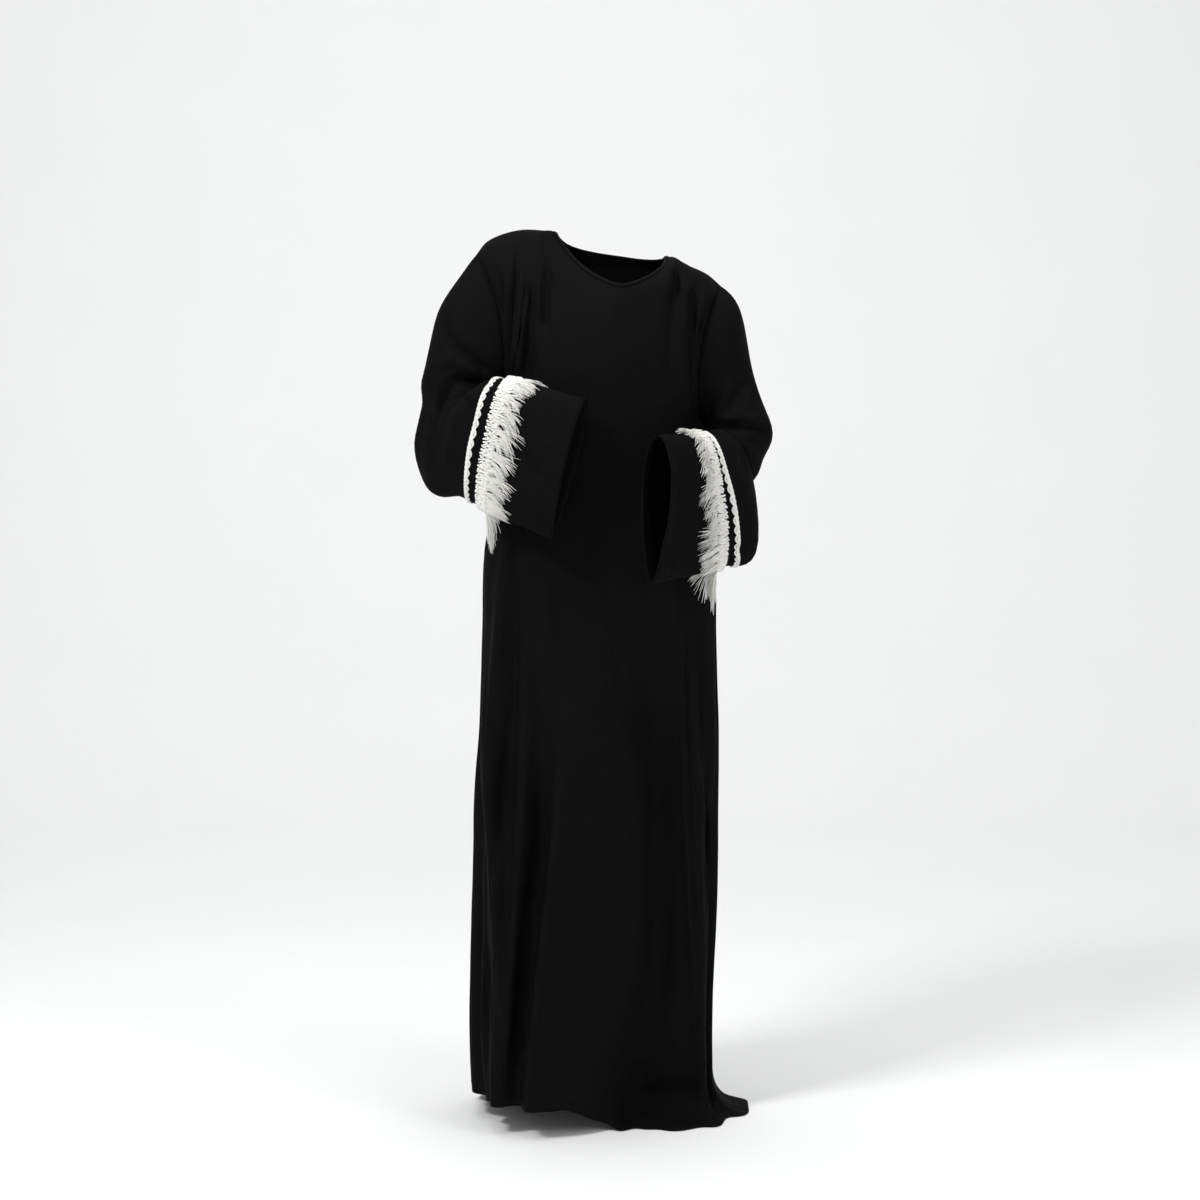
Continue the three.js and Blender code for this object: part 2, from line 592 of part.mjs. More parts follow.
// Outward directions at every point of one grid.
function gridNormals({ grid, closed, flip }) {
  const points = grid.flat();
  const normals = points.map(() => new THREE.Vector3());
  for (const [a, b, c] of gridFaces(grid.length, grid[0].length, closed)) {
    const across = points[b].clone().sub(points[a]);
    const normal = across.cross(points[c].clone().sub(points[a]));
    if (flip) normal.negate();
    for (const corner of [a, b, c]) normals[corner].add(normal);
  }
  return normals.map((normal) => normal.normalize());
}

// Adds a direction to the sum kept for a place.
function gather(sums, key, direction) {
  if (!sums.has(key)) sums.set(key, new THREE.Vector3());
  sums.get(key).add(direction);
}

// The same for grids that meet at seams. The body's two panels count as one, and as much as a sleeve.
function sharedNormals(families) {
  const sums = new Map();
  for (const family of families) {
    const own = new Map();
    for (const piece of family) {
      const normals = gridNormals(piece);
      piece.grid.flat().forEach((point, index) => gather(own, keyOf(point), normals[index]));
    }
    for (const [key, direction] of own) gather(sums, key, direction.normalize());
  }
  return (point) => sums.get(keyOf(point)).clone().normalize();
}

// A closed wall between two grids of points with the same faces: outer faces out and inner faces in.
function wallGeometry(outer, inner, closed, flip) {
  const rowCount = outer.length;
  const columnCount = outer[0].length;
  const count = rowCount * columnCount;
  const faces = [];
  for (const [a, b, c] of gridFaces(rowCount, columnCount, closed)) {
    faces.push([a, b, c], [count + a, count + c, count + b]);
  }
  const edge = (a, b) => faces.push([b, a, count + a], [b, count + a, count + b]);
  const wide = closed ? columnCount : columnCount - 1;
  for (let col = 0; col < wide; col += 1) {
    const next = (col + 1) % columnCount;
    edge(col, next);
    edge((rowCount - 1) * columnCount + next, (rowCount - 1) * columnCount + col);
  }
  if (!closed) {
    for (let row = 0; row + 1 < rowCount; row += 1) {
      edge((row + 1) * columnCount, row * columnCount);
      edge(row * columnCount + columnCount - 1, (row + 1) * columnCount + columnCount - 1);
    }
  }
  const positions = [...outer.flat(), ...inner.flat()].flatMap((point) => [point.x, point.y, point.z]);
  const geometry = new THREE.BufferGeometry();
  geometry.setAttribute('position', new THREE.Float32BufferAttribute(positions, 3));
  geometry.setIndex(faces.flatMap((face) => (flip ? [face[0], face[2], face[1]] : face)));
  return geometry;
}

const moved = (point, direction, distance) => point.clone().addScaledVector(direction, distance);

// Moves each point of an edge into its own piece by a distance, square to the edge.
function drawnIn(edge, inside, closed, distance) {
  const count = edge.length;
  return edge.map((point, index) => {
    const before = edge[closed ? (index + count - 1) % count : Math.max(index - 1, 0)];
    const after = edge[closed ? (index + 1) % count : Math.min(index + 1, count - 1)];
    const tangent = after.clone().sub(before).normalize();
    const inward = inside[index].clone().sub(point);
    inward.addScaledVector(tangent, -inward.dot(tangent));
    return moved(point, inward.normalize(), distance);
  });
}

// Draws the outer rows and columns of a grid in from its seams.
function trimmed(grid, closed) {
  const last = grid.length - 1;
  const rows = grid.map((row) => row.slice());
  const gap = closed ? SEAM_GAP : SEAM_GAP / 2;
  rows[0] = drawnIn(grid[0], grid[1], closed, gap);
  rows[last] = drawnIn(grid[last], grid[last - 1], closed, gap);
  if (closed) return rows;
  const end = grid[0].length - 1;
  const columnOf = (index) => rows.map((row) => row[index]);
  const first = drawnIn(columnOf(0), columnOf(1), false, gap);
  const final = drawnIn(columnOf(end), columnOf(end - 1), false, gap);
  return rows.map((row, index) => [first[index], ...row.slice(1, end), final[index]]);
}

const PIECES = {
  front: { grid: panelGrid('front'), closed: false, flip: false },
  back: { grid: panelGrid('back'), closed: false, flip: true },
  right: { grid: sleeveGrid('right'), closed: true, flip: true },
  left: { grid: sleeveGrid('left'), closed: true, flip: false },
};
const outwardOf = sharedNormals([[PIECES.front, PIECES.back], [PIECES.right], [PIECES.left]]);

// A cloth wall whose outer face is the piece's grid.
function clothWall(name) {
  const { grid, closed, flip } = PIECES[name];
  const outer = trimmed(grid, closed);
  const inner = outer.map((row, index) =>
    row.map((point, col) => moved(point, outwardOf(grid[index][col]), -WALL)),
  );
  return wallGeometry(outer, inner, closed, flip);
}

// A band that lies on a sleeve between two of its rings, raised off the cloth by the gap.
function bandOnSleeve(side, firstRing, thick) {
  const { grid, flip } = PIECES[side];
  const rings = [grid[firstRing], grid[firstRing + 1]];
  const raise = (distance) => rings.map((ring) => ring.map((point) => moved(point, outwardOf(point), distance)));
  return wallGeometry(raise(SEAM_GAP + thick), raise(SEAM_GAP), true, flip);
}

// The bound edge of the neck, made from the upper points of both panels.
function bindingGeometry() {
  const topOf = (facing) => PIECES[facing].grid[HEM_ROWS + LOWER_ROWS + UPPER_ROWS];
  const front = topOf('front').slice(NECK_FROM, NECK_TO + 1);
  const back = topOf('back').slice(NECK_FROM + 1, NECK_TO).reverse();
  const neck = [...front, ...back];
  const ring = neck.map((point, index) => {
    const before = neck[(index + neck.length - 1) % neck.length];
    const tangent = neck[(index + 1) % neck.length].clone().sub(before).normalize();
    const out = outwardOf(point);
    return { point, out, up: out.clone().cross(tangent).normalize() };
  });
  const proud = (BINDING_THICK - WALL) / 2;
  const line = (up, out) => ring.map((at) => moved(moved(at.point, at.up, up), at.out, out));
  const top = BINDING_WIDTH;
  const outer = [line(SEAM_GAP, proud), line(top, proud)];
  const inner = [line(SEAM_GAP, -WALL - proud), line(top, -WALL - proud)];
  return wallGeometry(outer, inner, true, false);
}

function toManifold(geometry) {
  const vertProperties = new Float32Array(geometry.attributes.position.array);
  const triVerts = new Uint32Array(geometry.index.array);
  return new wasm.Manifold(new wasm.Mesh({ numProp: 3, vertProperties, triVerts }));
}

function fromManifold(solid) {
  const mesh = solid.getMesh();
  const geometry = new THREE.BufferGeometry();
  const positions = new Float32Array(mesh.vertProperties);
  geometry.setAttribute('position', new THREE.BufferAttribute(positions, 3));
  geometry.setIndex(new THREE.BufferAttribute(new Uint32Array(mesh.triVerts), 1));
  return geometry;
}

// A number between 0 and 1 that is the same each time for the same index.
function scatter(index, salt) {
  const value = Math.sin(index * 12.9898 + salt * 78.233) * 43758.5453;
  return value - Math.floor(value);
}

// One lock of fringe: a three-sided spike with a bend, from its root past the bend to its tip.
function lockGeometry(root, bend, tip, across, out, width) {
  const corners = (centre, size) => [
    moved(centre, across, size / 2),
    moved(centre, across, -size / 2),
    moved(centre, out, size * 0.6),
  ];
  const points = [...corners(root, width), ...corners(bend, width * 0.85), tip];
  const faces = [[0, 2, 1]];
  for (let side = 0; side < 3; side += 1) {
    const next = (side + 1) % 3;
    faces.push([side, next, 3 + next], [side, 3 + next, 3 + side], [3 + side, 3 + next, 6]);
  }
  const geometry = new THREE.BufferGeometry();
  const positions = points.flatMap((point) => [point.x, point.y, point.z]);
  geometry.setAttribute('position', new THREE.Float32BufferAttribute(positions, 3));
  const share = ([a, b, c]) => points[a].dot(points[b].clone().cross(points[c]));
  const volume = faces.reduce((sum, face) => sum + share(face), 0);
  const order = volume > 0 ? faces : faces.map((face) => [face[0], face[2], face[1]]);
  geometry.setIndex(order.flat());
  return geometry;
}

// The fringe of one sleeve: a raised heading with locks that point to the cuff, and hang down under the sleeve.
function fringeGeometry(side) {
  const { grid, flip } = PIECES[side];
  const heading = toManifold(bandOnSleeve(side, HEAD_RING, HEAD_THICK));
  const locks = [];
  const down = new THREE.Vector3(0, 0, -1);
  for (let index = 0; index < LOCKS; index += 1) {
    const around = ((index + 0.5 * scatter(index, 1)) / LOCKS) * SLEEVE_ROUND;
    const col = Math.floor(around) % SLEEVE_ROUND;
    const next = (col + 1) % SLEEVE_ROUND;
    const between = around - Math.floor(around);
    const onRing = (ring) => grid[ring][col].clone().lerp(grid[ring][next], between);
    const edge = onRing(HEAD_RING + 1);
    const start = onRing(HEAD_RING);
    const end = onRing(HEAD_RING + 2);
    const out = outwardOf(grid[HEAD_RING + 1][col])
      .lerp(outwardOf(grid[HEAD_RING + 1][next]), between)
      .normalize();
    const along = end.clone().sub(edge).normalize();
    const across = grid[HEAD_RING + 1][next].clone().sub(grid[HEAD_RING + 1][col]).normalize();
    const underneath = ease(0.45, 0.85, -out.z);
    const lie = along.clone().lerp(down, 0.9 * underneath).normalize();
    const length = LOCK_LENGTH * mix(0.75, 1.15, scatter(index, 2)) * mix(1, 1.35, underneath);
    const slant = (scatter(index, 3) - 0.5) * 0.16;
    lie.addScaledVector(across, slant).normalize();
    const root = moved(moved(edge, edge.clone().sub(start).normalize(), -4), out, 2.2);
    const bend = moved(moved(edge, lie, length * 0.45), out, 5);
    const tip = moved(moved(edge, lie, length), out, 6);
    locks.push(toManifold(lockGeometry(root, bend, tip, across, out, LOCK_WIDTH)));
  }
  return fromManifold(locks.reduce((whole, lock) => whole.add(lock), heading));
}

const BLACK_CREPE = { color: 0x0b0b0d, roughness: 0.82, metalness: 0 };
const BLACK_BINDING = { color: 0x0d0d0f, roughness: 0.7, metalness: 0 };
const WHITE_YARN = { color: 0xebe9e1, roughness: 0.9, metalness: 0 };

const group = new THREE.Group();

function add(name, geometry, look) {
  const mesh = new THREE.Mesh(geometry, new THREE.MeshStandardMaterial(look));
  mesh.name = name;
  group.add(mesh);
}

add('body_front', clothWall('front'), BLACK_CREPE);
add('body_back', clothWall('back'), BLACK_CREPE);
add('sleeve_right', clothWall('right'), BLACK_CREPE);
add('sleeve_left', clothWall('left'), BLACK_CREPE);
add('neck_binding', bindingGeometry(), BLACK_BINDING);
add('braid_right', bandOnSleeve('right', BRAID_RING, BRAID_THICK), WHITE_YARN);
add('braid_left', bandOnSleeve('left', BRAID_RING, BRAID_THICK), WHITE_YARN);
add('fringe_right', fringeGeometry('right'), WHITE_YARN);
add('fringe_left', fringeGeometry('left'), WHITE_YARN);

export default group;
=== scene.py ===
# %% [markdown]
# A long black pull-on dress in its hollow worn form, with a white braid and fringe on each wide sleeve.
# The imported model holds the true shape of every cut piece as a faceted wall. Here each wall becomes a
# fine cloth shell with its creases, stitching and yarn. The frame comes first, because every piece
# made here lies on one of its nodes.

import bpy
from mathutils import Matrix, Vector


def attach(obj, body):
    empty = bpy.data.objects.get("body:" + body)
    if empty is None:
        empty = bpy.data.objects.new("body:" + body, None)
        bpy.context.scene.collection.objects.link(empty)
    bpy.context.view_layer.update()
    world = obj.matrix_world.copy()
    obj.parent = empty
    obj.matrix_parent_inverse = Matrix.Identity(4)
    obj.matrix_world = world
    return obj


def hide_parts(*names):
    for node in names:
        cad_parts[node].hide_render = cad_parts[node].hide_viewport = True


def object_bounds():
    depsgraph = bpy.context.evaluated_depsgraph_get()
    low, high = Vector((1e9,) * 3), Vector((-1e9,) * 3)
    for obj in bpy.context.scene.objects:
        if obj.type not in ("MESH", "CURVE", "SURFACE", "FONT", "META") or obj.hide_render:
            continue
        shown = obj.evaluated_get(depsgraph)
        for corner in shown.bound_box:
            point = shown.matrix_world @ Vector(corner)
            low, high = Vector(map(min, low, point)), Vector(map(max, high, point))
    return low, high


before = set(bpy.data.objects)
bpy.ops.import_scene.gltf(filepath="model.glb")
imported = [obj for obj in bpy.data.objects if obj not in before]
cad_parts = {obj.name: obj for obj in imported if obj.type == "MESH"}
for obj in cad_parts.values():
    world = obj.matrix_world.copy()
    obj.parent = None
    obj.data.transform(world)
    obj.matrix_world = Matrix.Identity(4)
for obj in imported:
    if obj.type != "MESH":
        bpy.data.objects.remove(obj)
cad_box = [list(corner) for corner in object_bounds()]

import math

import bmesh
import bpy
import numpy as np

MM = 0.001
SIDES = ("right", "left")
print("nodes:", ", ".join(sorted(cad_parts)))

# %% [markdown]
# The picture was taken from 1.1 m above the floor, four metres away, with a long lens held nearly level. The
# camera looks down by less than two degrees, and a small lens shift gives the rest of the framing, as
# on a view camera. Turning it down all the way would narrow the hem, and a larger shift would push the
# shoulders out of the frame when the dress is looked at from its side.

# %% Camera
PICTURE = 1200  # side of the square picture in its own points
FOCAL_IN_POINTS = 2461
AXIS_ROW = 529  # the row that the lens points at
TILT = 1.65  # degrees
SENSOR = 36
CAMERA_PLACE = (0, -4.045, -0.349)

bpy.ops.object.camera_add(location=CAMERA_PLACE, rotation=(math.radians(90 - TILT), 0, 0))
camera = bpy.context.object
camera.name = "camera"
camera.data.sensor_width = SENSOR
camera.data.lens = FOCAL_IN_POINTS / PICTURE * SENSOR
camera.data.shift_y = -(PICTURE / 2 - AXIS_ROW) / PICTURE
bpy.context.scene.camera = camera
bpy.context.scene.view_settings.view_transform = "Standard"
print("lens", round(camera.data.lens, 1), "mm")

# %% [markdown]
# Each wall in the model is a grid of points: rows from the shoulder to the hem, or from the armhole
# to the cuff. Its file keeps only loose triangles, so the grid is found again: the thin rims are cut
# away, the larger of the two walls is the outer one, and its points are sorted row by row by walking
# along the edges. A regular grid is worth the trouble, because a smooth surface can be drawn through
# it at any fineness, and cloth measures such as the distance to the cuff stay known.

# %% Find the rows of a cloth wall
MERGE = 0.00001
WALL = 2 * MM  # thickness of a cloth wall in the model
RIM_SLACK = 0.00002


def outer_wall(node):
    """The larger skin of a node, as points, their links, edge points, corners and outward normals."""
    mesh = bmesh.new()
    mesh.from_mesh(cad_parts[node].data)
    bmesh.ops.remove_doubles(mesh, verts=mesh.verts, dist=MERGE)
    rims = [edge for edge in mesh.edges if abs(edge.calc_length() - WALL) < RIM_SLACK]
    bmesh.ops.delete(mesh, geom=rims, context="EDGES")
    loose = [edge for edge in mesh.edges if not edge.link_faces]
    bmesh.ops.delete(mesh, geom=loose, context="EDGES")
    mesh.verts.index_update()
    mesh.normal_update()
    skins = []
    left = {vert for vert in mesh.verts if vert.link_faces}
    while left:
        skin = {left.pop()}
        front = set(skin)
        while front:
            front = {edge.other_vert(vert) for vert in front for edge in vert.link_edges} & left
            left -= front
            skin |= front
        faces = {face for vert in skin for face in vert.link_faces}
        skins.append((sum(face.calc_area() for face in faces), skin))
    skin = max(skins, key=lambda item: item[0])[1]
    points = {vert.index: np.array(vert.co) for vert in skin}
    links = {vert.index: {edge.other_vert(vert).index for edge in vert.link_edges} for vert in skin}
    rim_links = {
        vert.index: {edge.other_vert(vert).index for edge in vert.link_edges if edge.is_boundary}
        for vert in skin
    }
    rim_links = {index: others for index, others in rim_links.items() if others}
    corners = [vert.index for vert in skin if len(vert.link_faces) == 1]
    normals = {vert.index: np.array(vert.normal) for vert in skin}
    mesh.free()
    return points, links, rim_links, corners, normals


# %% Walk along its rows


def chain(members, links, start=None):
    """The members in walking order. An open row begins at one of its ends."""
    inside = {index: links[index] & members for index in members}
    if start is None:
        ends = [index for index in members if len(inside[index]) == 1]
        start = min(ends) if ends else min(members)
    row = [start]
    seen = {start}
    while True:
        onward = sorted(index for index in inside[row[-1]] if index not in seen)
        if not onward:
            return row
        row.append(onward[0])
        seen.add(onward[0])


def height_of(row, points):
    return float(np.mean([points[index][2] for index in row]))


def first_row(points, rim_links, corners, across, closed):
    """The upper edge: the armhole ring of a sleeve, or the shoulders and neckline of a panel."""
    if closed:
        left = set(rim_links)
        rings = []
        while left:
            ring = chain(left, rim_links, min(left))
            rings.append(ring)
            left -= set(ring)
        return max(rings, key=lambda ring: height_of(ring, points))
    loop = chain(set(rim_links), rim_links, corners[0])
    double = loop + loop
    sides = []
    for corner in corners:
        at = loop.index(corner)
        sides.append(double[at : at + across])
        sides.append(double[at + len(loop) - across + 1 : at + len(loop) + 1])
    return max(sides, key=lambda side: height_of(side, points))


def matched(row, before, points, closed):
    """The row turned and shifted so that each point lies next to its neighbour of the row before."""
    target = np.array([points[index] for index in before])
    best = None
    for turned in (row, row[::-1]):
        for shift in range(len(row) if closed else 1):
            tried = turned[shift:] + turned[:shift]
            gap = float(((np.array([points[index] for index in tried]) - target) ** 2).sum())
            if best is None or gap < best[0]:
                best = (gap, tried)
    return best[1]


def cloth_rows(node, across, closed):
    """The outer wall of a node as rows of points in metres, set so that its normals point outwards."""
    points, links, rim_links, corners, normals = outer_wall(node)
    rows = [first_row(points, rim_links, corners, across, closed)]
    seen = set(rows[0])
    while True:
        level = {other for index in rows[-1] for other in links[index]} - seen
        if not level:
            break
        rows.append(matched(chain(level, links), rows[-1], points, closed))
        seen |= level
    grid = np.array([[points[index] for index in row] for row in rows])
    outward = np.array([[normals[index] for index in row] for row in rows])
    if (grid_normals(grid, closed) * outward).sum() < 0:
        grid = grid[:, ::-1]
    print(node, "rows and columns:", grid.shape[:2])
    return grid


def unit(vectors):
    return vectors / np.maximum(np.linalg.norm(vectors, axis=-1, keepdims=True), 1e-9)


def grid_normals(grid, closed):
    """Unit normals of a grid of points: across the row, crossed with down the columns."""
    down = np.gradient(grid, axis=0)
    if closed:
        across = (np.roll(grid, -1, axis=1) - np.roll(grid, 1, axis=1)) / 2
    else:
        across = np.gradient(grid, axis=1)
    return unit(np.cross(down, across))


# %% The grids of the four cloth pieces
NECK_FROM = 10  # the columns where the neckline begins and ends, counted from the right sleeve
NECK_TO = 25
NECK_ROUNDING = 3  # times that the neck edge is smoothed


def neck_span(grid):
    """First and last column of the neckline of a panel, whose rows may run either way."""
    if grid[0, 0, 0] > grid[0, -1, 0]:
        return grid.shape[1] - 1 - NECK_TO, grid.shape[1] - 1 - NECK_FROM
    return NECK_FROM, NECK_TO


def round_necked(grid):
    """The panel with its neck edge drawn a little rounder, as a binding pulls it."""
    first, last = neck_span(grid)
    edge = grid[0, first : last + 1]
    for _ in range(NECK_ROUNDING):
        edge[1:-1] = edge[1:-1] * 0.5 + (edge[:-2] + edge[2:]) * 0.25
    return grid


ACROSS = 35  # points of a panel's row
AROUND = 22  # points of a sleeve's ring
PANELS = ("body_front", "body_back")
SLEEVES = ("sleeve_right", "sleeve_left")
GRIDS = {piece: (round_necked(cloth_rows(piece, ACROSS, False)), False) for piece in PANELS}
GRIDS.update({piece: (cloth_rows(piece, AROUND, True), True) for piece in SLEEVES})

# %% [markdown]
# Cloth has no corners, so a cubic spline is drawn through the grid both ways. Subdividing the
# facets would be simpler, but it pulls folds flatter than they were set, while a spline passes
# through every point. The same spline later gives the lines on which braid, fringe and stitches lie.

# %% A smooth surface through a grid


def spline(values, knots, at, closed=False):
    """Cubic spline along the first axis. A closed one comes back to its first value at the last knot."""
    shape = values.shape[1:]
    flat = values.reshape(len(values), -1)
    if closed:
        flat = np.vstack([flat, flat[:1]])
    count = len(flat)
    gap = np.diff(knots)
    slope = np.diff(flat, axis=0) / gap[:, None]
    matrix = np.zeros((count, count))
    right = np.zeros_like(flat)
    for row in range(1, count - 1):
        matrix[row, row - 1 : row + 2] = gap[row - 1], 2 * (gap[row - 1] + gap[row]), gap[row]
        right[row] = 6 * (slope[row] - slope[row - 1])
    if closed:
        matrix[0, :2] = 2 * (gap[0] + gap[-1]), gap[0]
        matrix[0, -2] = gap[-1]
        right[0] = 6 * (slope[0] - slope[-1])
        matrix[-1, 0], matrix[-1, -1] = 1, -1
    else:
        matrix[0, 0] = matrix[-1, -1] = 1
    bend = np.linalg.solve(matrix, right)
    cell = np.clip(np.searchsorted(knots, at, side="right") - 1, 0, count - 2)
    before, width = (at - knots[cell])[:, None], gap[cell][:, None]
    after = width - before
    value = (
        bend[cell] * after**3 / (6 * width)
        + bend[cell + 1] * before**3 / (6 * width)
        + (flat[cell] / width - bend[cell] * width / 6) * after
        + (flat[cell + 1] / width - bend[cell + 1] * width / 6) * before
    )
    return value.reshape((len(at),) + shape)


def mean_steps(grid):
    """Distance down the cloth of each row, from the first one, as the mean over its columns."""
    steps = np.linalg.norm(np.diff(grid, axis=0), axis=2).mean(axis=1)
    return np.concatenate([[0], np.cumsum(steps)])


def surface(piece, down, across):
    """Points of a piece at distances down its cloth and at column numbers, as a grid."""
    grid, closed = GRIDS[piece]
    columns = np.arange(grid.shape[1] + (1 if closed else 0), dtype=float)
    along = spline(grid, mean_steps(grid), down)
    turned = spline(along.transpose(1, 0, 2), columns, across, closed)
    return turned.transpose(1, 0, 2)


def length_of(piece):
    return float(mean_steps(GRIDS[piece][0])[-1])


for piece in GRIDS:
    print(piece, "length down the cloth", round(length_of(piece), 3), "m")

# %% [markdown]
# The main folds are already in the walls. Finer creases are drawn on as strokes, each a line
# of points seen from the front or the back, with a depth and a width. The cloth is moved in or out
# along its own normal, most on the line and softly less beside it, as a finger pressed along the
# cloth would do. A negative depth is a trough, a positive one a ridge.

# %% Creases
FRONT, BACK, RIGHT_SIDE, LEFT_SIDE = (0, -1, 0), (0, 1, 0), (-1, 0, 0), (1, 0, 0)

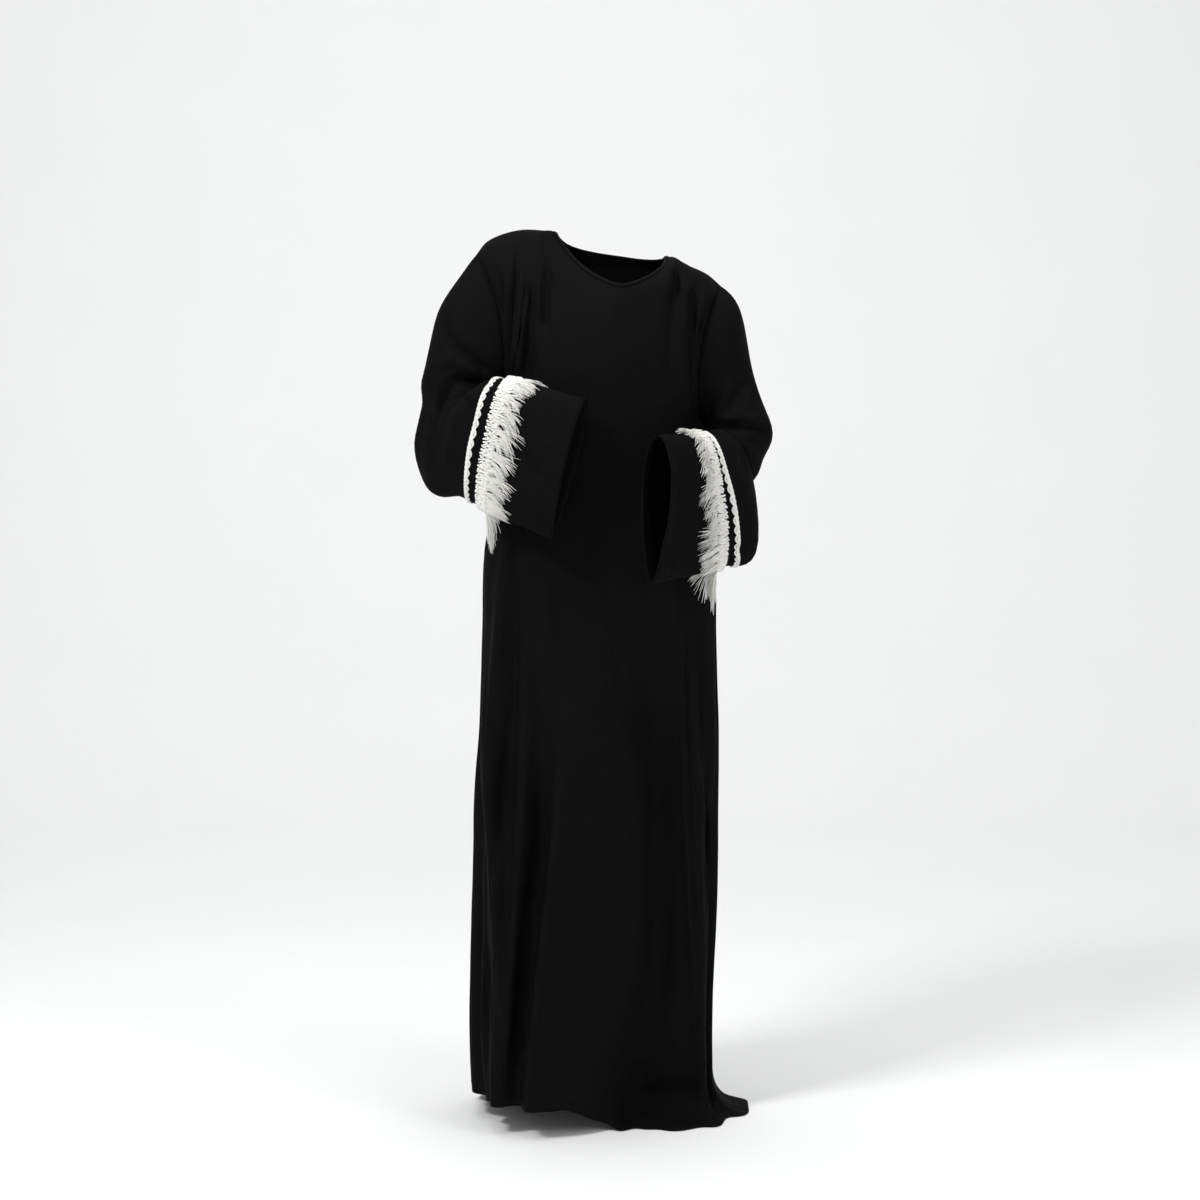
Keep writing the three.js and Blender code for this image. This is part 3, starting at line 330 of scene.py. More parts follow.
# side that a stroke is seen from, depth in mm, width in mm, then its line as places in mm:
# seen from front or back (x, z), seen from a side (y, z)
CREASES = {
    "body_front": [
        # beside the right armhole
        (FRONT, -13, 5, [(-162, -48), (-159, -100), (-166, -141), (-170, -215)]),
        (FRONT, -10, 5, [(-132, -6), (-137, -80), (-143, -123), (-150, -181), (-158, -235)]),
        (FRONT, 5, 5, [(-147, -50), (-150, -130), (-161, -215)]),
        (FRONT, -12, 9, [(-109, -59), (-112, -129), (-117, -181), (-123, -240)]),
        (FRONT, 5, 6, [(-123, -40), (-128, -130), (-136, -210)]),
        (FRONT, -9, 7, [(-83, -33), (-88, -94), (-91, -150)]),
        (FRONT, 5, 7, [(-97, -40), (-100, -110), (-103, -190)]),
        (FRONT, -3, 12, [(-50, -55), (-52, -110), (-54, -165)]),
        # beside the left armhole
        (FRONT, -7, 5, [(123, -45), (123, -90)]),
        (FRONT, -8, 7, [(152, -70), (150, -100), (147, -150)]),
        (FRONT, 4, 6, [(137, -60), (135, -150)]),
        (FRONT, -10, 8, [(171, -110), (167, -160), (163, -215), (161, -255)]),
        (FRONT, 5, 6, [(182, -140), (176, -215), (171, -260)]),
        (LEFT_SIDE, 8, 20, [(-12, -284), (-6, -360)]),
        # right side of the skirt
        (FRONT, 4, 8, [(-149, -480), (-162, -619), (-168, -720)]),
        (
            FRONT, 6, 11,
            [(-186, -640), (-184, -859), (-174, -1030), (-168, -1168), (-153, -1264), (-158, -1390)],
        ),
        (FRONT, 3, 4, [(-186, -720), (-181, -900), (-172, -1060), (-165, -1180), (-156, -1300)]),
        (FRONT, -8, 10, [(-202, -860), (-196, -1020), (-190, -1200), (-184, -1330)]),
        (
            FRONT, 6, 10,
            [(-118, -620), (-118, -790), (-126, -928), (-141, -1133), (-148, -1270), (-162, -1400)],
        ),
        (FRONT, 3, 4, [(-118, -700), (-122, -860), (-131, -1000), (-143, -1160), (-150, -1290)]),
        (FRONT, -9, 13, [(-148, -760), (-152, -960), (-158, -1140), (-166, -1290)]),
        (FRONT, -10, 15, [(-88, -870), (-97, -985), (-114, -1099), (-126, -1235), (-139, -1400)]),
        (FRONT, 4, 8, [(-70, -890), (-80, -1030), (-94, -1153), (-108, -1280), (-124, -1400)]),
        (FRONT, 3, 4, [(-70, -930), (-80, -1050), (-95, -1180), (-112, -1320)]),
        # middle and left side of the skirt
        (FRONT, -4, 12, [(-62, -520), (-64, -700)]),
        (FRONT, 4, 12, [(-86, -520), (-90, -700)]),
        (FRONT, 6, 26, [(-14, -560), (14, -721), (45, -845), (45, -961), (34, -1180)]),
        (FRONT, -4, 14, [(12, -540), (24, -640), (34, -720)]),
        (FRONT, -4, 18, [(-10, -1060), (-10, -1330)]),
        (FRONT, -9, 24, [(88, -660), (97, -830), (99, -961), (102, -1168), (110, -1360)]),
        (FRONT, 5, 8, [(118, -520), (130, -688), (136, -824), (147, -1064), (166, -1360)]),
        (FRONT, 3, 4, [(122, -560), (130, -700), (137, -840), (147, -1064), (158, -1220)]),
        (FRONT, -7, 6, [(136, -600), (143, -825), (153, -1065), (165, -1200)]),
        (FRONT, 5, 8, [(166, -560), (168, -830), (169, -990)]),
        # the folds that lie on the floor
        (FRONT, -6, 6, [(40, -1352), (72, -1372), (42, -1392)]),
        (FRONT, -6, 6, [(60, -1412), (110, -1410), (175, -1410)]),
        (RIGHT_SIDE, -8, 14, [(-14, -520), (-6, -800), (-12, -1150), (-20, -1330)]),
        (LEFT_SIDE, -7, 13, [(0, -560), (8, -850), (14, -1150)]),
    ],
    "body_back": [
        # from the shoulder seams downwards
        (BACK, -9, 9, [(-120, -60), (-116, -200), (-112, -330)]),
        (BACK, -8, 8, [(118, -90), (114, -220), (112, -340)]),
        (BACK, 5, 8, [(-98, -90), (-94, -300)]),
        (BACK, 5, 8, [(98, -120), (94, -320)]),
        (BACK, -6, 8, [(-142, -90), (-146, -250)]),
        (BACK, -4, 14, [(4, -150), (2, -380)]),
        # the skirt
        (BACK, -8, 16, [(-60, -420), (-66, -700), (-72, -1000)]),
        (BACK, 4, 5, [(-84, -560), (-92, -860), (-102, -1200)]),
        (BACK, 6, 13, [(-20, -480), (-24, -800), (-40, -1250)]),
        (BACK, -9, 16, [(30, -430), (34, -760), (30, -1150)]),
        (BACK, 6, 12, [(80, -500), (92, -860), (104, -1300)]),
        (BACK, 3, 4, [(84, -600), (93, -880), (104, -1260)]),
        (BACK, -8, 12, [(128, -560), (138, -900), (150, -1200)]),
        (BACK, 5, 11, [(-130, -520), (-140, -900), (-150, -1250)]),
        (BACK, -7, 10, [(-112, -620), (-120, -900), (-126, -1150)]),
        (RIGHT_SIDE, -7, 12, [(60, -480), (72, -800), (86, -1150)]),
        (LEFT_SIDE, -7, 12, [(62, -520), (78, -850), (104, -1180)]),
        (LEFT_SIDE, 8, 20, [(-12, -284), (-6, -360)]),
    ],
    "sleeve_right": [
        # creases that turn round the sleeve's bend
        (
            FRONT, -11, 5,
            [(-256, -118), (-250, -142), (-240, -163), (-219, -177), (-190, -203), (-172, -212)],
        ),
        (
            FRONT, -12, 5,
            [(-172, -232), (-190, -229), (-207, -226), (-231, -220), (-246, -232), (-259, -261),
             (-269, -290), (-274, -330)],
        ),
        (FRONT, 7, 7, [(-285, -206), (-262, -198), (-245, -193), (-215, -203), (-186, -217)]),
        (FRONT, 5, 6, [(-222, -240), (-238, -252), (-248, -280), (-256, -318)]),
        (FRONT, 5, 6, [(-262, -148), (-250, -178), (-232, -192)]),
        (FRONT, -6, 5, [(-215, -250), (-205, -275)]),
        (FRONT, 5, 10, [(-225, -260), (-238, -320), (-246, -370)]),
        # the cuff
        (FRONT, -5, 11, [(-129, -336), (-112, -360), (-92, -385)]),
        (FRONT, 4, 14, [(-75, -310), (-66, -360), (-62, -400)]),
        (BACK, -9, 8, [(-196, -212), (-232, -224), (-262, -250)]),
        (BACK, 5, 8, [(-192, -236), (-230, -250), (-262, -282)]),
        (BACK, -6, 9, [(-200, -262), (-240, -285), (-262, -320)]),
        (BACK, -6, 8, [(-190, -100), (-222, -130)]),
    ],
    "sleeve_left": [
        (FRONT, -6, 9, [(250, -205), (232, -232), (214, -262), (196, -285)]),
        (FRONT, 4, 8, [(262, -222), (240, -262), (216, -290)]),
        (FRONT, -13, 5, [(176, -306), (190, -299), (205, -297), (235, -297), (261, -301), (282, -314)]),
        (FRONT, 6, 7, [(190, -284), (215, -283), (245, -285), (272, -292)]),
        (FRONT, 5, 7, [(200, -312), (235, -312), (265, -318)]),
        (FRONT, -6, 5, [(171, -309), (197, -305), (218, -320)]),
        (FRONT, -7, 8, [(232, -328), (232, -372)]),
        (FRONT, -5, 8, [(210, -500), (228, -494), (240, -487)]),
        (FRONT, -6, 7, [(268, -236), (250, -262)]),
        # the cuff
        (FRONT, 4, 10, [(110, -340), (104, -420), (94, -480)]),
        (FRONT, -4, 12, [(128, -350), (124, -430), (118, -480)]),
        (BACK, -9, 8, [(190, -282), (222, -294), (254, -314)]),
        (BACK, 5, 8, [(190, -306), (222, -320), (250, -345)]),
        (BACK, -6, 9, [(200, -340), (226, -362), (246, -392)]),
        (BACK, -6, 8, [(176, -150), (214, -186)]),
    ],
}


# %% Heights of the strokes and of the drape


def near_line(flat, line):
    """Distance of each flat place from a line of points, and how far along the line it lies, 0 to 1."""
    line = np.array(line, float) * MM
    best = np.full(flat.shape[:-1], 1e9)
    along = np.zeros(flat.shape[:-1])
    lengths = np.linalg.norm(np.diff(line, axis=0), axis=1)
    start = np.concatenate([[0], np.cumsum(lengths)])
    for index, length in enumerate(lengths):
        way = (line[index + 1] - line[index]) / length
        offset = flat - line[index]
        reach = np.clip(offset @ way, 0, length)
        distance = np.linalg.norm(offset - reach[..., None] * way, axis=-1)
        closer = distance < best
        best = np.where(closer, distance, best)
        along = np.where(closer, (start[index] + reach) / start[-1], along)
    return best, along


TURNED_AWAY = (0.05, 0.4)  # how squarely the cloth faces the side where a stroke begins and is whole
FADE = 0.22  # share of a stroke's length over which each end fades
END_DEPTH = 0.15  # share of the depth that is left at the very ends


def mixed(low, high, share):
    return low + (high - low) * share


def smooth(low, high, value):
    share = np.clip((value - low) / (high - low), 0, 1)
    return share * share * (3 - 2 * share)


def crease_heights(piece, points, normals):
    """How far each point moves out, in metres, from all the strokes on its piece.

    A stroke fades at its ends, and where the cloth turns away from the side it is seen from.
    """
    height = np.zeros(points.shape[:-1])
    for side, depth, width, line in CREASES[piece]:
        seen = points[..., [0, 2]] if side[0] == 0 else points[..., [1, 2]]
        distance, along = near_line(seen, line)
        facing = smooth(*TURNED_AWAY, normals @ np.array(side, float))
        ends = mixed(END_DEPTH, 1, smooth(0, FADE, along) * smooth(0, FADE, 1 - along))
        height += depth * MM * ends * facing * np.exp(-((distance / (width * MM)) ** 2))
    return height


# height in mm of each wave, then the two sines that make it: rates along x, y and z, and the start
DRAPE = (
    (0.63, (38, 9, 3.1, 1.3), (11, 31, -4, 0)),
    (0.35, (83, 0, -7, 1.9), (0, 61, 9, 0.4)),
    (0.175, (150, 0, 21, 0), (0, 140, -33, 2.2)),
)


def drape_waves(points):
    """A slight unevenness of the hanging cloth, long in the way it hangs and short across it."""
    wave = np.zeros(points.shape[:-1])
    for height, *pair in DRAPE:
        first, second = (np.sin(points @ np.array(rates[:3]) + rates[3]) for rates in pair)
        wave += height * MM * first * second
    return wave


# %% The creased face
SEAM_DIP = 1.0 * MM
SEAM_REACH = 7 * MM


def edge_distances(points, closed):
    """Distance of each grid point from the first row, and from the side edges of an open piece."""
    down = np.linalg.norm(np.diff(points, axis=0), axis=2)
    top = np.vstack([np.zeros(points.shape[1]), np.cumsum(down, axis=0)])
    if closed:
        return top, None
    steps = np.linalg.norm(np.diff(points, axis=1), axis=2)
    left = np.hstack([np.zeros((points.shape[0], 1)), np.cumsum(steps, axis=1)])
    return top, np.minimum(left, left[:, -1:] - left)


def laid_out(piece, down, across):
    """Points and normals of a piece's creased outer face at the given places."""
    closed = GRIDS[piece][1]
    points = surface(piece, down, across)
    normals = grid_normals(points, closed)
    height = crease_heights(piece, points, normals) + drape_waves(points)
    return points + normals * height[..., None], normals


# %% [markdown]
# A shell is built from the fine grid with a seam valley along its sewn edges, where the seam
# allowance pulls the cloth in. Solidify then gives the cloth its inner face. It is the better choice
# over a copied and flipped grid, because it closes the rims at neck, cuffs and hem by itself.

# %% Build a cloth shell
CLOTH = 1.1 * MM
STEP = 7 * MM  # between its rows of points
COLUMN_PARTS = {"body_front": 6, "body_back": 6, "sleeve_right": 7, "sleeve_left": 7}


def new_mesh_object(name, vertices, faces, uvs=None):
    mesh = bpy.data.meshes.new(name)
    mesh.from_pydata([tuple(vertex) for vertex in vertices], [], faces)
    mesh.polygons.foreach_set("use_smooth", [True] * len(mesh.polygons))
    if uvs is not None:
        layer = mesh.uv_layers.new(name="cloth")
        loops = np.empty(len(mesh.loops), dtype=np.int32)
        mesh.loops.foreach_get("vertex_index", loops)
        layer.data.foreach_set("uv", np.asarray(uvs)[loops].astype(np.float32).ravel())
    mesh.update()
    piece = bpy.data.objects.new(name, mesh)
    bpy.context.scene.collection.objects.link(piece)
    return piece


def grid_faces(rows, columns, closed):
    """Quads of a grid whose points run along its rows, facing as grid_normals does."""
    index = np.arange(rows * columns).reshape(rows, columns)
    if closed:
        index = np.hstack([index, index[:, :1]])
    quads = np.stack([index[:-1, :-1], index[1:, :-1], index[1:, 1:], index[:-1, 1:]], axis=-1)
    return [tuple(quad) for quad in quads.reshape(-1, 4).tolist()]


def finish_modifier(piece, kind, **settings):
    """Adds a modifier with its settings to a piece and applies it."""
    modifier = piece.modifiers.new(kind.title(), kind)
    for key, value in settings.items():
        setattr(modifier, key, value)
    bpy.ops.object.select_all(action="DESELECT")
    bpy.context.view_layer.objects.active = piece
    piece.select_set(True)
    bpy.ops.object.modifier_apply(modifier=modifier.name)
    piece.select_set(False)


def fine_places(piece):
    """Distances down the cloth and column numbers of a piece's fine grid."""
    grid, closed = GRIDS[piece]
    parts = COLUMN_PARTS[piece]
    count = grid.shape[1] * parts if closed else (grid.shape[1] - 1) * parts + 1
    return np.linspace(0, length_of(piece), round(length_of(piece) / STEP) + 1), np.arange(count) / parts


OUTER = {piece: laid_out(piece, *fine_places(piece)) for piece in GRIDS}


def cloth_shell(piece):
    closed = GRIDS[piece][1]
    down, across = fine_places(piece)
    points, normals = OUTER[piece]
    top, side = edge_distances(points, closed)
    dip = np.exp(-((top / SEAM_REACH) ** 2))
    if side is not None:
        dip = np.maximum(dip, np.exp(-((side / SEAM_REACH) ** 2)))
    points = points - normals * (dip * SEAM_DIP)[..., None]
    points[..., 2] = np.maximum(points[..., 2], cad_box[0][2])
    width = float(np.linalg.norm(np.diff(points, axis=1), axis=2).sum(axis=1).mean())
    uvs = np.stack(np.meshgrid(across / across[-1] * width, down), axis=-1)
    faces = grid_faces(len(down), len(across), closed)
    shell = new_mesh_object(piece + "_cloth", points.reshape(-1, 3), faces, uvs.reshape(-1, 2))
    finish_modifier(shell, "SOLIDIFY", thickness=CLOTH, offset=-1)
    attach(shell, "root")
    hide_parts(piece)
    print(shell.name, "faces", len(shell.data.polygons), "width", round(width, 3), "m")
    return shell


shells = {piece: cloth_shell(piece) for piece in GRIDS}

# %% [markdown]
# Every sewn edge has a seam allowance behind it, overlocked and pressed flat. It is made as a narrow
# strip with three lines of points: one on each side of the seam and one under it. Without it light
# would show between two shells, as it would between two pieces that are only laid edge to edge.

# %% Seam allowances
ALLOWANCE_CELLS = 2  # grid cells that a seam allowance reaches into each piece
UNDER = 1.7 * MM  # how far it lies behind the outer face
STRIP = 0.6 * MM


def edge_line(piece, edge, first=None, last=None):
    """Points of a piece's edge and the points a little inside it, both moved behind the outer face."""
    points, normals = OUTER[piece]
    behind = points - normals * UNDER
    cut = slice(first, last)
    if edge == "top":
        return behind[0, cut], behind[ALLOWANCE_CELLS, cut]
    if edge == "left":
        return behind[cut, 0], behind[cut, ALLOWANCE_CELLS]
    return behind[cut, -1], behind[cut, -1 - ALLOWANCE_CELLS]


def joined(parts):
    return np.concatenate([part[0] for part in parts]), np.concatenate([part[1] for part in parts])


def strip_mesh(name, lines, closed):
    """A thin strip of cloth whose long lines of points are given side by side."""
    grid = np.stack(lines, axis=0)
    faces = grid_faces(grid.shape[0], grid.shape[1], closed)
    strip = new_mesh_object(name, grid.reshape(-1, 3), faces)
    finish_modifier(strip, "SOLIDIFY", thickness=STRIP, offset=0)
    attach(strip, "root")
    return strip


def seam_strip(name, line, others, closed=False):
    """The allowance along one edge line, joined to the nearest edge of the pieces sewn to it."""
    edge, inside = line
    other_edge, other_inside = joined(others)
    near = np.array([np.argmin(((other_edge - point) ** 2).sum(axis=1)) for point in edge])
    middle = (edge + other_edge[near]) / 2
    return strip_mesh(name, [inside, middle, other_inside[near]], closed)


def neck_columns(piece):
    """First and last fine column of the neckline on a panel's upper row."""
    first, last = neck_span(GRIDS[piece][0])
    return first * COLUMN_PARTS[piece], last * COLUMN_PARTS[piece]


back_top, *back_sides = [edge_line("body_back", edge) for edge in ("top", "left", "right")]
panel_sides = [edge_line(piece, edge) for piece in PANELS for edge in ("left", "right")]
neck_first, neck_last = neck_columns("body_front")
SEAMS = {
    "seam_side_a": (edge_line("body_front", "left"), back_sides),
    "seam_side_b": (edge_line("body_front", "right"), back_sides),
    "seam_shoulder_a": (edge_line("body_front", "top", last=neck_first + 1), [back_top]),
    "seam_shoulder_b": (edge_line("body_front", "top", first=neck_last), [back_top]),
    "armhole_seam_right": (edge_line("sleeve_right", "top"), panel_sides, True),
    "armhole_seam_left": (edge_line("sleeve_left", "top"), panel_sides, True),
}
strips = {name: seam_strip(name, *parts) for name, parts in SEAMS.items()}
print("seam strips:", ", ".join(strips))

# %% [markdown]
# The cuffs and the skirt hem are turned in and stitched down, and what shows from outside is the row of
# stitches that holds the turning. One can look into the cuffs, so there the turning is made as well: a
# second, inner layer of cloth from the edge upwards. At the skirt hem only its stitches are made.

# %% Turned hems
CUFF_TURNING = 30 * MM
HEM_TURNING = 18 * MM
LAYER_GAP = 0.5 * MM


def turned_cuff(side):
    """A second layer just inside the lower edge of a sleeve."""
    points, normals = OUTER["sleeve_" + side]
    rows = round(CUFF_TURNING / STEP) + 1
    layer = points[-rows:] - normals[-rows:] * (CLOTH + LAYER_GAP)
    return strip_mesh("cuff_turning_" + side, list(layer), True)


turnings = {side: turned_cuff(side) for side in SIDES}
print("turned cuffs:", len(turnings))

# %% [markdown]
# A stitch is modelled once: a short round rod with its ends rounded off, sunk a little into the cloth.
# It is then copied along each stitched line. Real stitches could be a bump in the material, but rods
# catch the light on their own, and they keep their size on any part of the dress.

# %% Stitches
STITCH_LENGTH = 2.6 * MM
STITCH_PITCH = 3.6 * MM
THREAD = 0.32 * MM  # radius
RIM_ANGLE = 80  # degrees: rounds the ends and leaves the rod's sides alone


def stitch_model():
    """Points and faces of one stitch that lies along X."""
    bpy.ops.mesh.primitive_cylinder_add(
        vertices=6, radius=THREAD, depth=STITCH_LENGTH, rotation=(0, math.radians(90), 0)
    )
    rod = bpy.context.object
    bpy.ops.object.transform_apply(location=False, rotation=True, scale=False)
    rim = math.radians(RIM_ANGLE)
    finish_modifier(rod, "BEVEL", width=THREAD * 0.6, segments=1, limit_method="ANGLE", angle_limit=rim)
    vertices = np.array([tuple(vertex.co) for vertex in rod.data.vertices])
    faces = [tuple(face.vertices) for face in rod.data.polygons]
    bpy.data.objects.remove(rod)
    return vertices, faces


STITCH = stitch_model()


def even_places(line, normals, pitch, closed):
    """Evenly spaced points along a line, with its direction and its normals there."""
    if closed:
        line = np.vstack([line, line[:1]])
        normals = np.vstack([normals, normals[:1]])
    steps = np.linalg.norm(np.diff(line, axis=0), axis=1)
    along = np.concatenate([[0], np.cumsum(steps)])
    count = int(along[-1] / pitch)
    at = (np.arange(count) + 0.5) * along[-1] / count
    point = np.stack([np.interp(at, along, line[:, axis]) for axis in range(3)], axis=1)
    ahead = np.stack([np.interp(at + 0.5 * MM, along, line[:, axis]) for axis in range(3)], axis=1)
    out = np.stack([np.interp(at, along, normals[:, axis]) for axis in range(3)], axis=1)
    return point, unit(ahead - point), unit(out)


def stitched(name, line, normals, closed, slot="black_crepe"):
    """A row of copies of the stitch along a line on the cloth."""
    vertices, faces = STITCH
    point, way, out = even_places(line, normals, STITCH_PITCH, closed)
    side = np.cross(out, way)
    placed = (
        point[:, None]
        + vertices[None, :, 0, None] * way[:, None]
        + vertices[None, :, 1, None] * side[:, None]
        + (vertices[None, :, 2, None] + THREAD * 0.4) * out[:, None]
    )
    starts = range(0, len(vertices) * len(point), len(vertices))
    all_faces = [tuple(index + start for index in face) for start in starts for face in faces]
    row = new_mesh_object(name, placed.reshape(-1, 3), all_faces)
    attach(row, "root")
    return row


def row_above_edge(piece, distance):
    points, normals = OUTER[piece]
    row = len(points) - 1 - round(distance / STEP)
    return points[row], normals[row]


STITCHED = {
    "sleeve_right": ("cuff_stitches_right", CUFF_TURNING),
    "sleeve_left": ("cuff_stitches_left", CUFF_TURNING),
    "body_front": ("hem_stitches_front", HEM_TURNING),
    "body_back": ("hem_stitches_back", HEM_TURNING),
}
stitch_rows = {
    piece: stitched(name, *row_above_edge(piece, turning), GRIDS[piece][1])
    for piece, (name, turning) in STITCHED.items()
}
print("stitches:", sum(len(row.data.polygons) // len(STITCH[1]) for row in stitch_rows.values()))

# %% [markdown]
# The neck edge is bound with a narrow strip of the same cloth, folded over it. On the real dress the
# strip is cut on the bias, so it curves without pleats. Here a rounded section is carried round the
# neckline; a curve with a bevel would twist at the point of the neck, while this one follows the
# panels' own normals.

# %% Neck binding
BINDING_HEIGHT = 6 * MM
BINDING_THICK = 3.4 * MM
BINDING_GAP = 0.3 * MM
BINDING_SINK = 1.2 * MM  # how far it reaches down over the raw edge
BINDING_SIDES = 16
STITCH_OUT, STITCH_UP = 0.7 * MM, 0.8 * MM  # where its stitches run, from the neck edge
SQUARED = 0.55  # 1 is a round section, less is a squarer one


def neck_ring():
    """Points round the neckline and their outward normals, from the panels' upper rows."""
    parts = []
    for piece in PANELS:
        points, normals = OUTER[piece]
        first, last = neck_columns(piece)
        row, out = points[0, first : last + 1], normals[0, first : last + 1]
        if row[0, 0] > row[-1, 0]:
            row, out = row[::-1], out[::-1]
        parts.append((row, out))
    (front, front_out), (back, back_out) = parts
    ring = np.vstack([front, back[-2:0:-1]])
    out = np.vstack([front_out, back_out[-2:0:-1]])
    return ring, out


def softened(values, times):
    """The values of a closed ring, each drawn a little towards its neighbours."""
    for _ in range(times):
        values = values * 0.5 + (np.roll(values, 1, axis=0) + np.roll(values, -1, axis=0)) * 0.25
    return values


def neck_binding():
    ring, out = neck_ring()
    ring = softened(ring, 2)
    out = unit(softened(out, 6))
    ahead = softened(unit(np.roll(ring, -1, axis=0) - np.roll(ring, 1, axis=0)), 4)
    up = unit(np.cross(out, ahead))
    turn = np.arange(BINDING_SIDES) / BINDING_SIDES * 2 * math.pi
    wide, high = (np.sign(part) * np.abs(part) ** SQUARED / 2 for part in (np.cos(turn), np.sin(turn)))
    wide = wide * BINDING_THICK - WALL / 2
    high = high * BINDING_HEIGHT + BINDING_HEIGHT / 2 + BINDING_GAP - BINDING_SINK
    step = np.arange(len(ring))
    swell = 1 + 0.03 * np.sin(step * 1.9) + 0.02 * np.sin(step * 0.7)
    outwards_by = (wide * swell[:, None])[..., None]
    points = ring[:, None] + out[:, None] * outwards_by + up[:, None] * high[None, :, None]
    index = np.arange(len(ring) * BINDING_SIDES).reshape(len(ring), BINDING_SIDES)
    beside, after = np.roll(index, -1, axis=1), np.roll(index, -1, axis=0)
    quads = np.stack([index, beside, np.roll(after, -1, axis=1), after], axis=-1)
    faces = [tuple(quad) for quad in quads.reshape(-1, 4).tolist()]
    binding = new_mesh_object("bound_neck_edge", points.reshape(-1, 3), faces)
    outwards(binding)
    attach(binding, "root")
    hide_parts("neck_binding")
    return binding, (ring + out * STITCH_OUT + up * STITCH_UP, out)


def outwards(piece):
    """Turns all faces of a closed piece outwards."""
    mesh = bmesh.new()
    mesh.from_mesh(piece.data)
    bmesh.ops.recalc_face_normals(mesh, faces=mesh.faces)
    mesh.to_mesh(piece.data)
    mesh.free()


binding, binding_line = neck_binding()
neck_stitches = stitched("neck_stitches", *binding_line, True, slot="black_binding")
print("neck opening", [round(float(width), 3) for width in np.ptp(binding_line[0], axis=0)], "m")

# %% [markdown]
# The trim is off-white yarn. Above a black stripe lies a narrow crochet braid: a smooth
# cord along one edge and small scallops along the other. On its cuff side lies the heading of the
# fringe. All of it is made of round yarns that follow lines on the sleeve, so one helper draws many
# yarns at once. Hair particles would be quicker to comb, but they don't survive an export.

# %% Yarns along lines
RINGS = {"braid": (13, 14), "heading": (15, 16)}  # the trim's edges lie on these rings of a sleeve
chance = np.random.default_rng(7)


def on_sleeve(piece, level, columns):
    """Places on the sleeve one by one: point, outward normal, way to the cuff and way round."""
    order = np.argsort(columns)
    back = np.argsort(order)
    reach = 1.5 * MM
    turned = columns[order]
    here = surface(piece, np.array([level - reach, level, level + reach]), turned)
    beside = surface(piece, np.array([level]), (turned + 0.06) % AROUND)[0]
    way = unit(here[2] - here[0])
    side = unit(beside - here[1])
    out = unit(np.cross(way, side))
    lift = drape_waves(here[1]) + crease_heights(piece, here[1], out)
    point = here[1] + out * lift[:, None]
    return point[back], out[back], way[back], side[back]


def yarns(name, paths, radii, sides, closed=False):
    """Many yarns in one mesh. Paths are (yarn, step, 3); radii are (yarn, step)."""
    count, steps = paths.shape[:2]
    if closed:
        way = np.roll(paths, -1, axis=1) - np.roll(paths, 1, axis=1)
    else:
        way = np.gradient(paths, axis=1)
    way = unit(way)
    rough = np.where(np.abs(way[..., 2:3]) > 0.8, [[[1.0, 0.0, 0.0]]], [[[0.0, 0.0, 1.0]]])
    first = unit(np.cross(way, rough))
    second = np.cross(way, first)
    turn = np.arange(sides) / sides * 2 * math.pi
    ring = np.cos(turn)[:, None] * first[:, :, None] + np.sin(turn)[:, None] * second[:, :, None]
    points = paths[:, :, None] + ring * radii[:, :, None, None]
    index = np.arange(count * steps * sides).reshape(count, steps, sides)
    here, after = (index, np.roll(index, -1, axis=1)) if closed else (index[:, :-1], index[:, 1:])
    quads = np.stack([here, after, np.roll(after, -1, axis=2), np.roll(here, -1, axis=2)], axis=-1)
    faces = [tuple(face) for face in quads.reshape(-1, 4).tolist()]
    if not closed:
        faces += [tuple(face) for face in index[:, 0, ::-1].tolist()]
        faces += [tuple(face) for face in index[:, -1].tolist()]
    lengths = np.linalg.norm(np.diff(paths, axis=1), axis=2)
    along = np.concatenate([np.zeros((count, 1)), np.cumsum(lengths, axis=1)], axis=1)
    u = np.broadcast_to(np.arange(sides) / sides, (count, steps, sides))
    v = np.broadcast_to(along[..., None], (count, steps, sides))
    piece = new_mesh_object(name, points.reshape(-1, 3), faces, np.stack([u, v], axis=-1).reshape(-1, 2))
    outwards(piece)
    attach(piece, "root")
    return piece


def levels_between(piece, rings, shares):
    """Distances down a sleeve between two of its rings."""
    steps = mean_steps(GRIDS[piece][0])
    return [float(steps[rings[0]] + (steps[rings[1]] - steps[rings[0]]) * share) for share in shares]


# %% [markdown]
# The braid is five yarns. Three lie side by side and make its smooth cord. Two more swing out and back
# in even arcs and make the scallops, and they rise and sink a little as they swing.

# %% Crochet braid
SCALLOP_PITCH = 12 * MM
SCALLOP_POINTS = 14
SCALLOP_LIFT = 1.5 * MM
# place across the braid as a share of its width, then height and radius in mm
CORDS = ((-0.31, 1.4, 1.15), (-0.16, 1.7, 1.15), (-0.02, 1.5, 1.05))
# the two ends of its swing across the braid, then radius in mm
SCALLOPED = ((0.06, 0.34, 1.0), (0.08, 0.20, 1.05))


def ring_length(piece, level):
    columns = np.linspace(0, AROUND, 200, endpoint=False)
    points = surface(piece, np.array([level]), columns)[0]
    return float(np.linalg.norm(np.roll(points, -1, axis=0) - points, axis=1).sum())


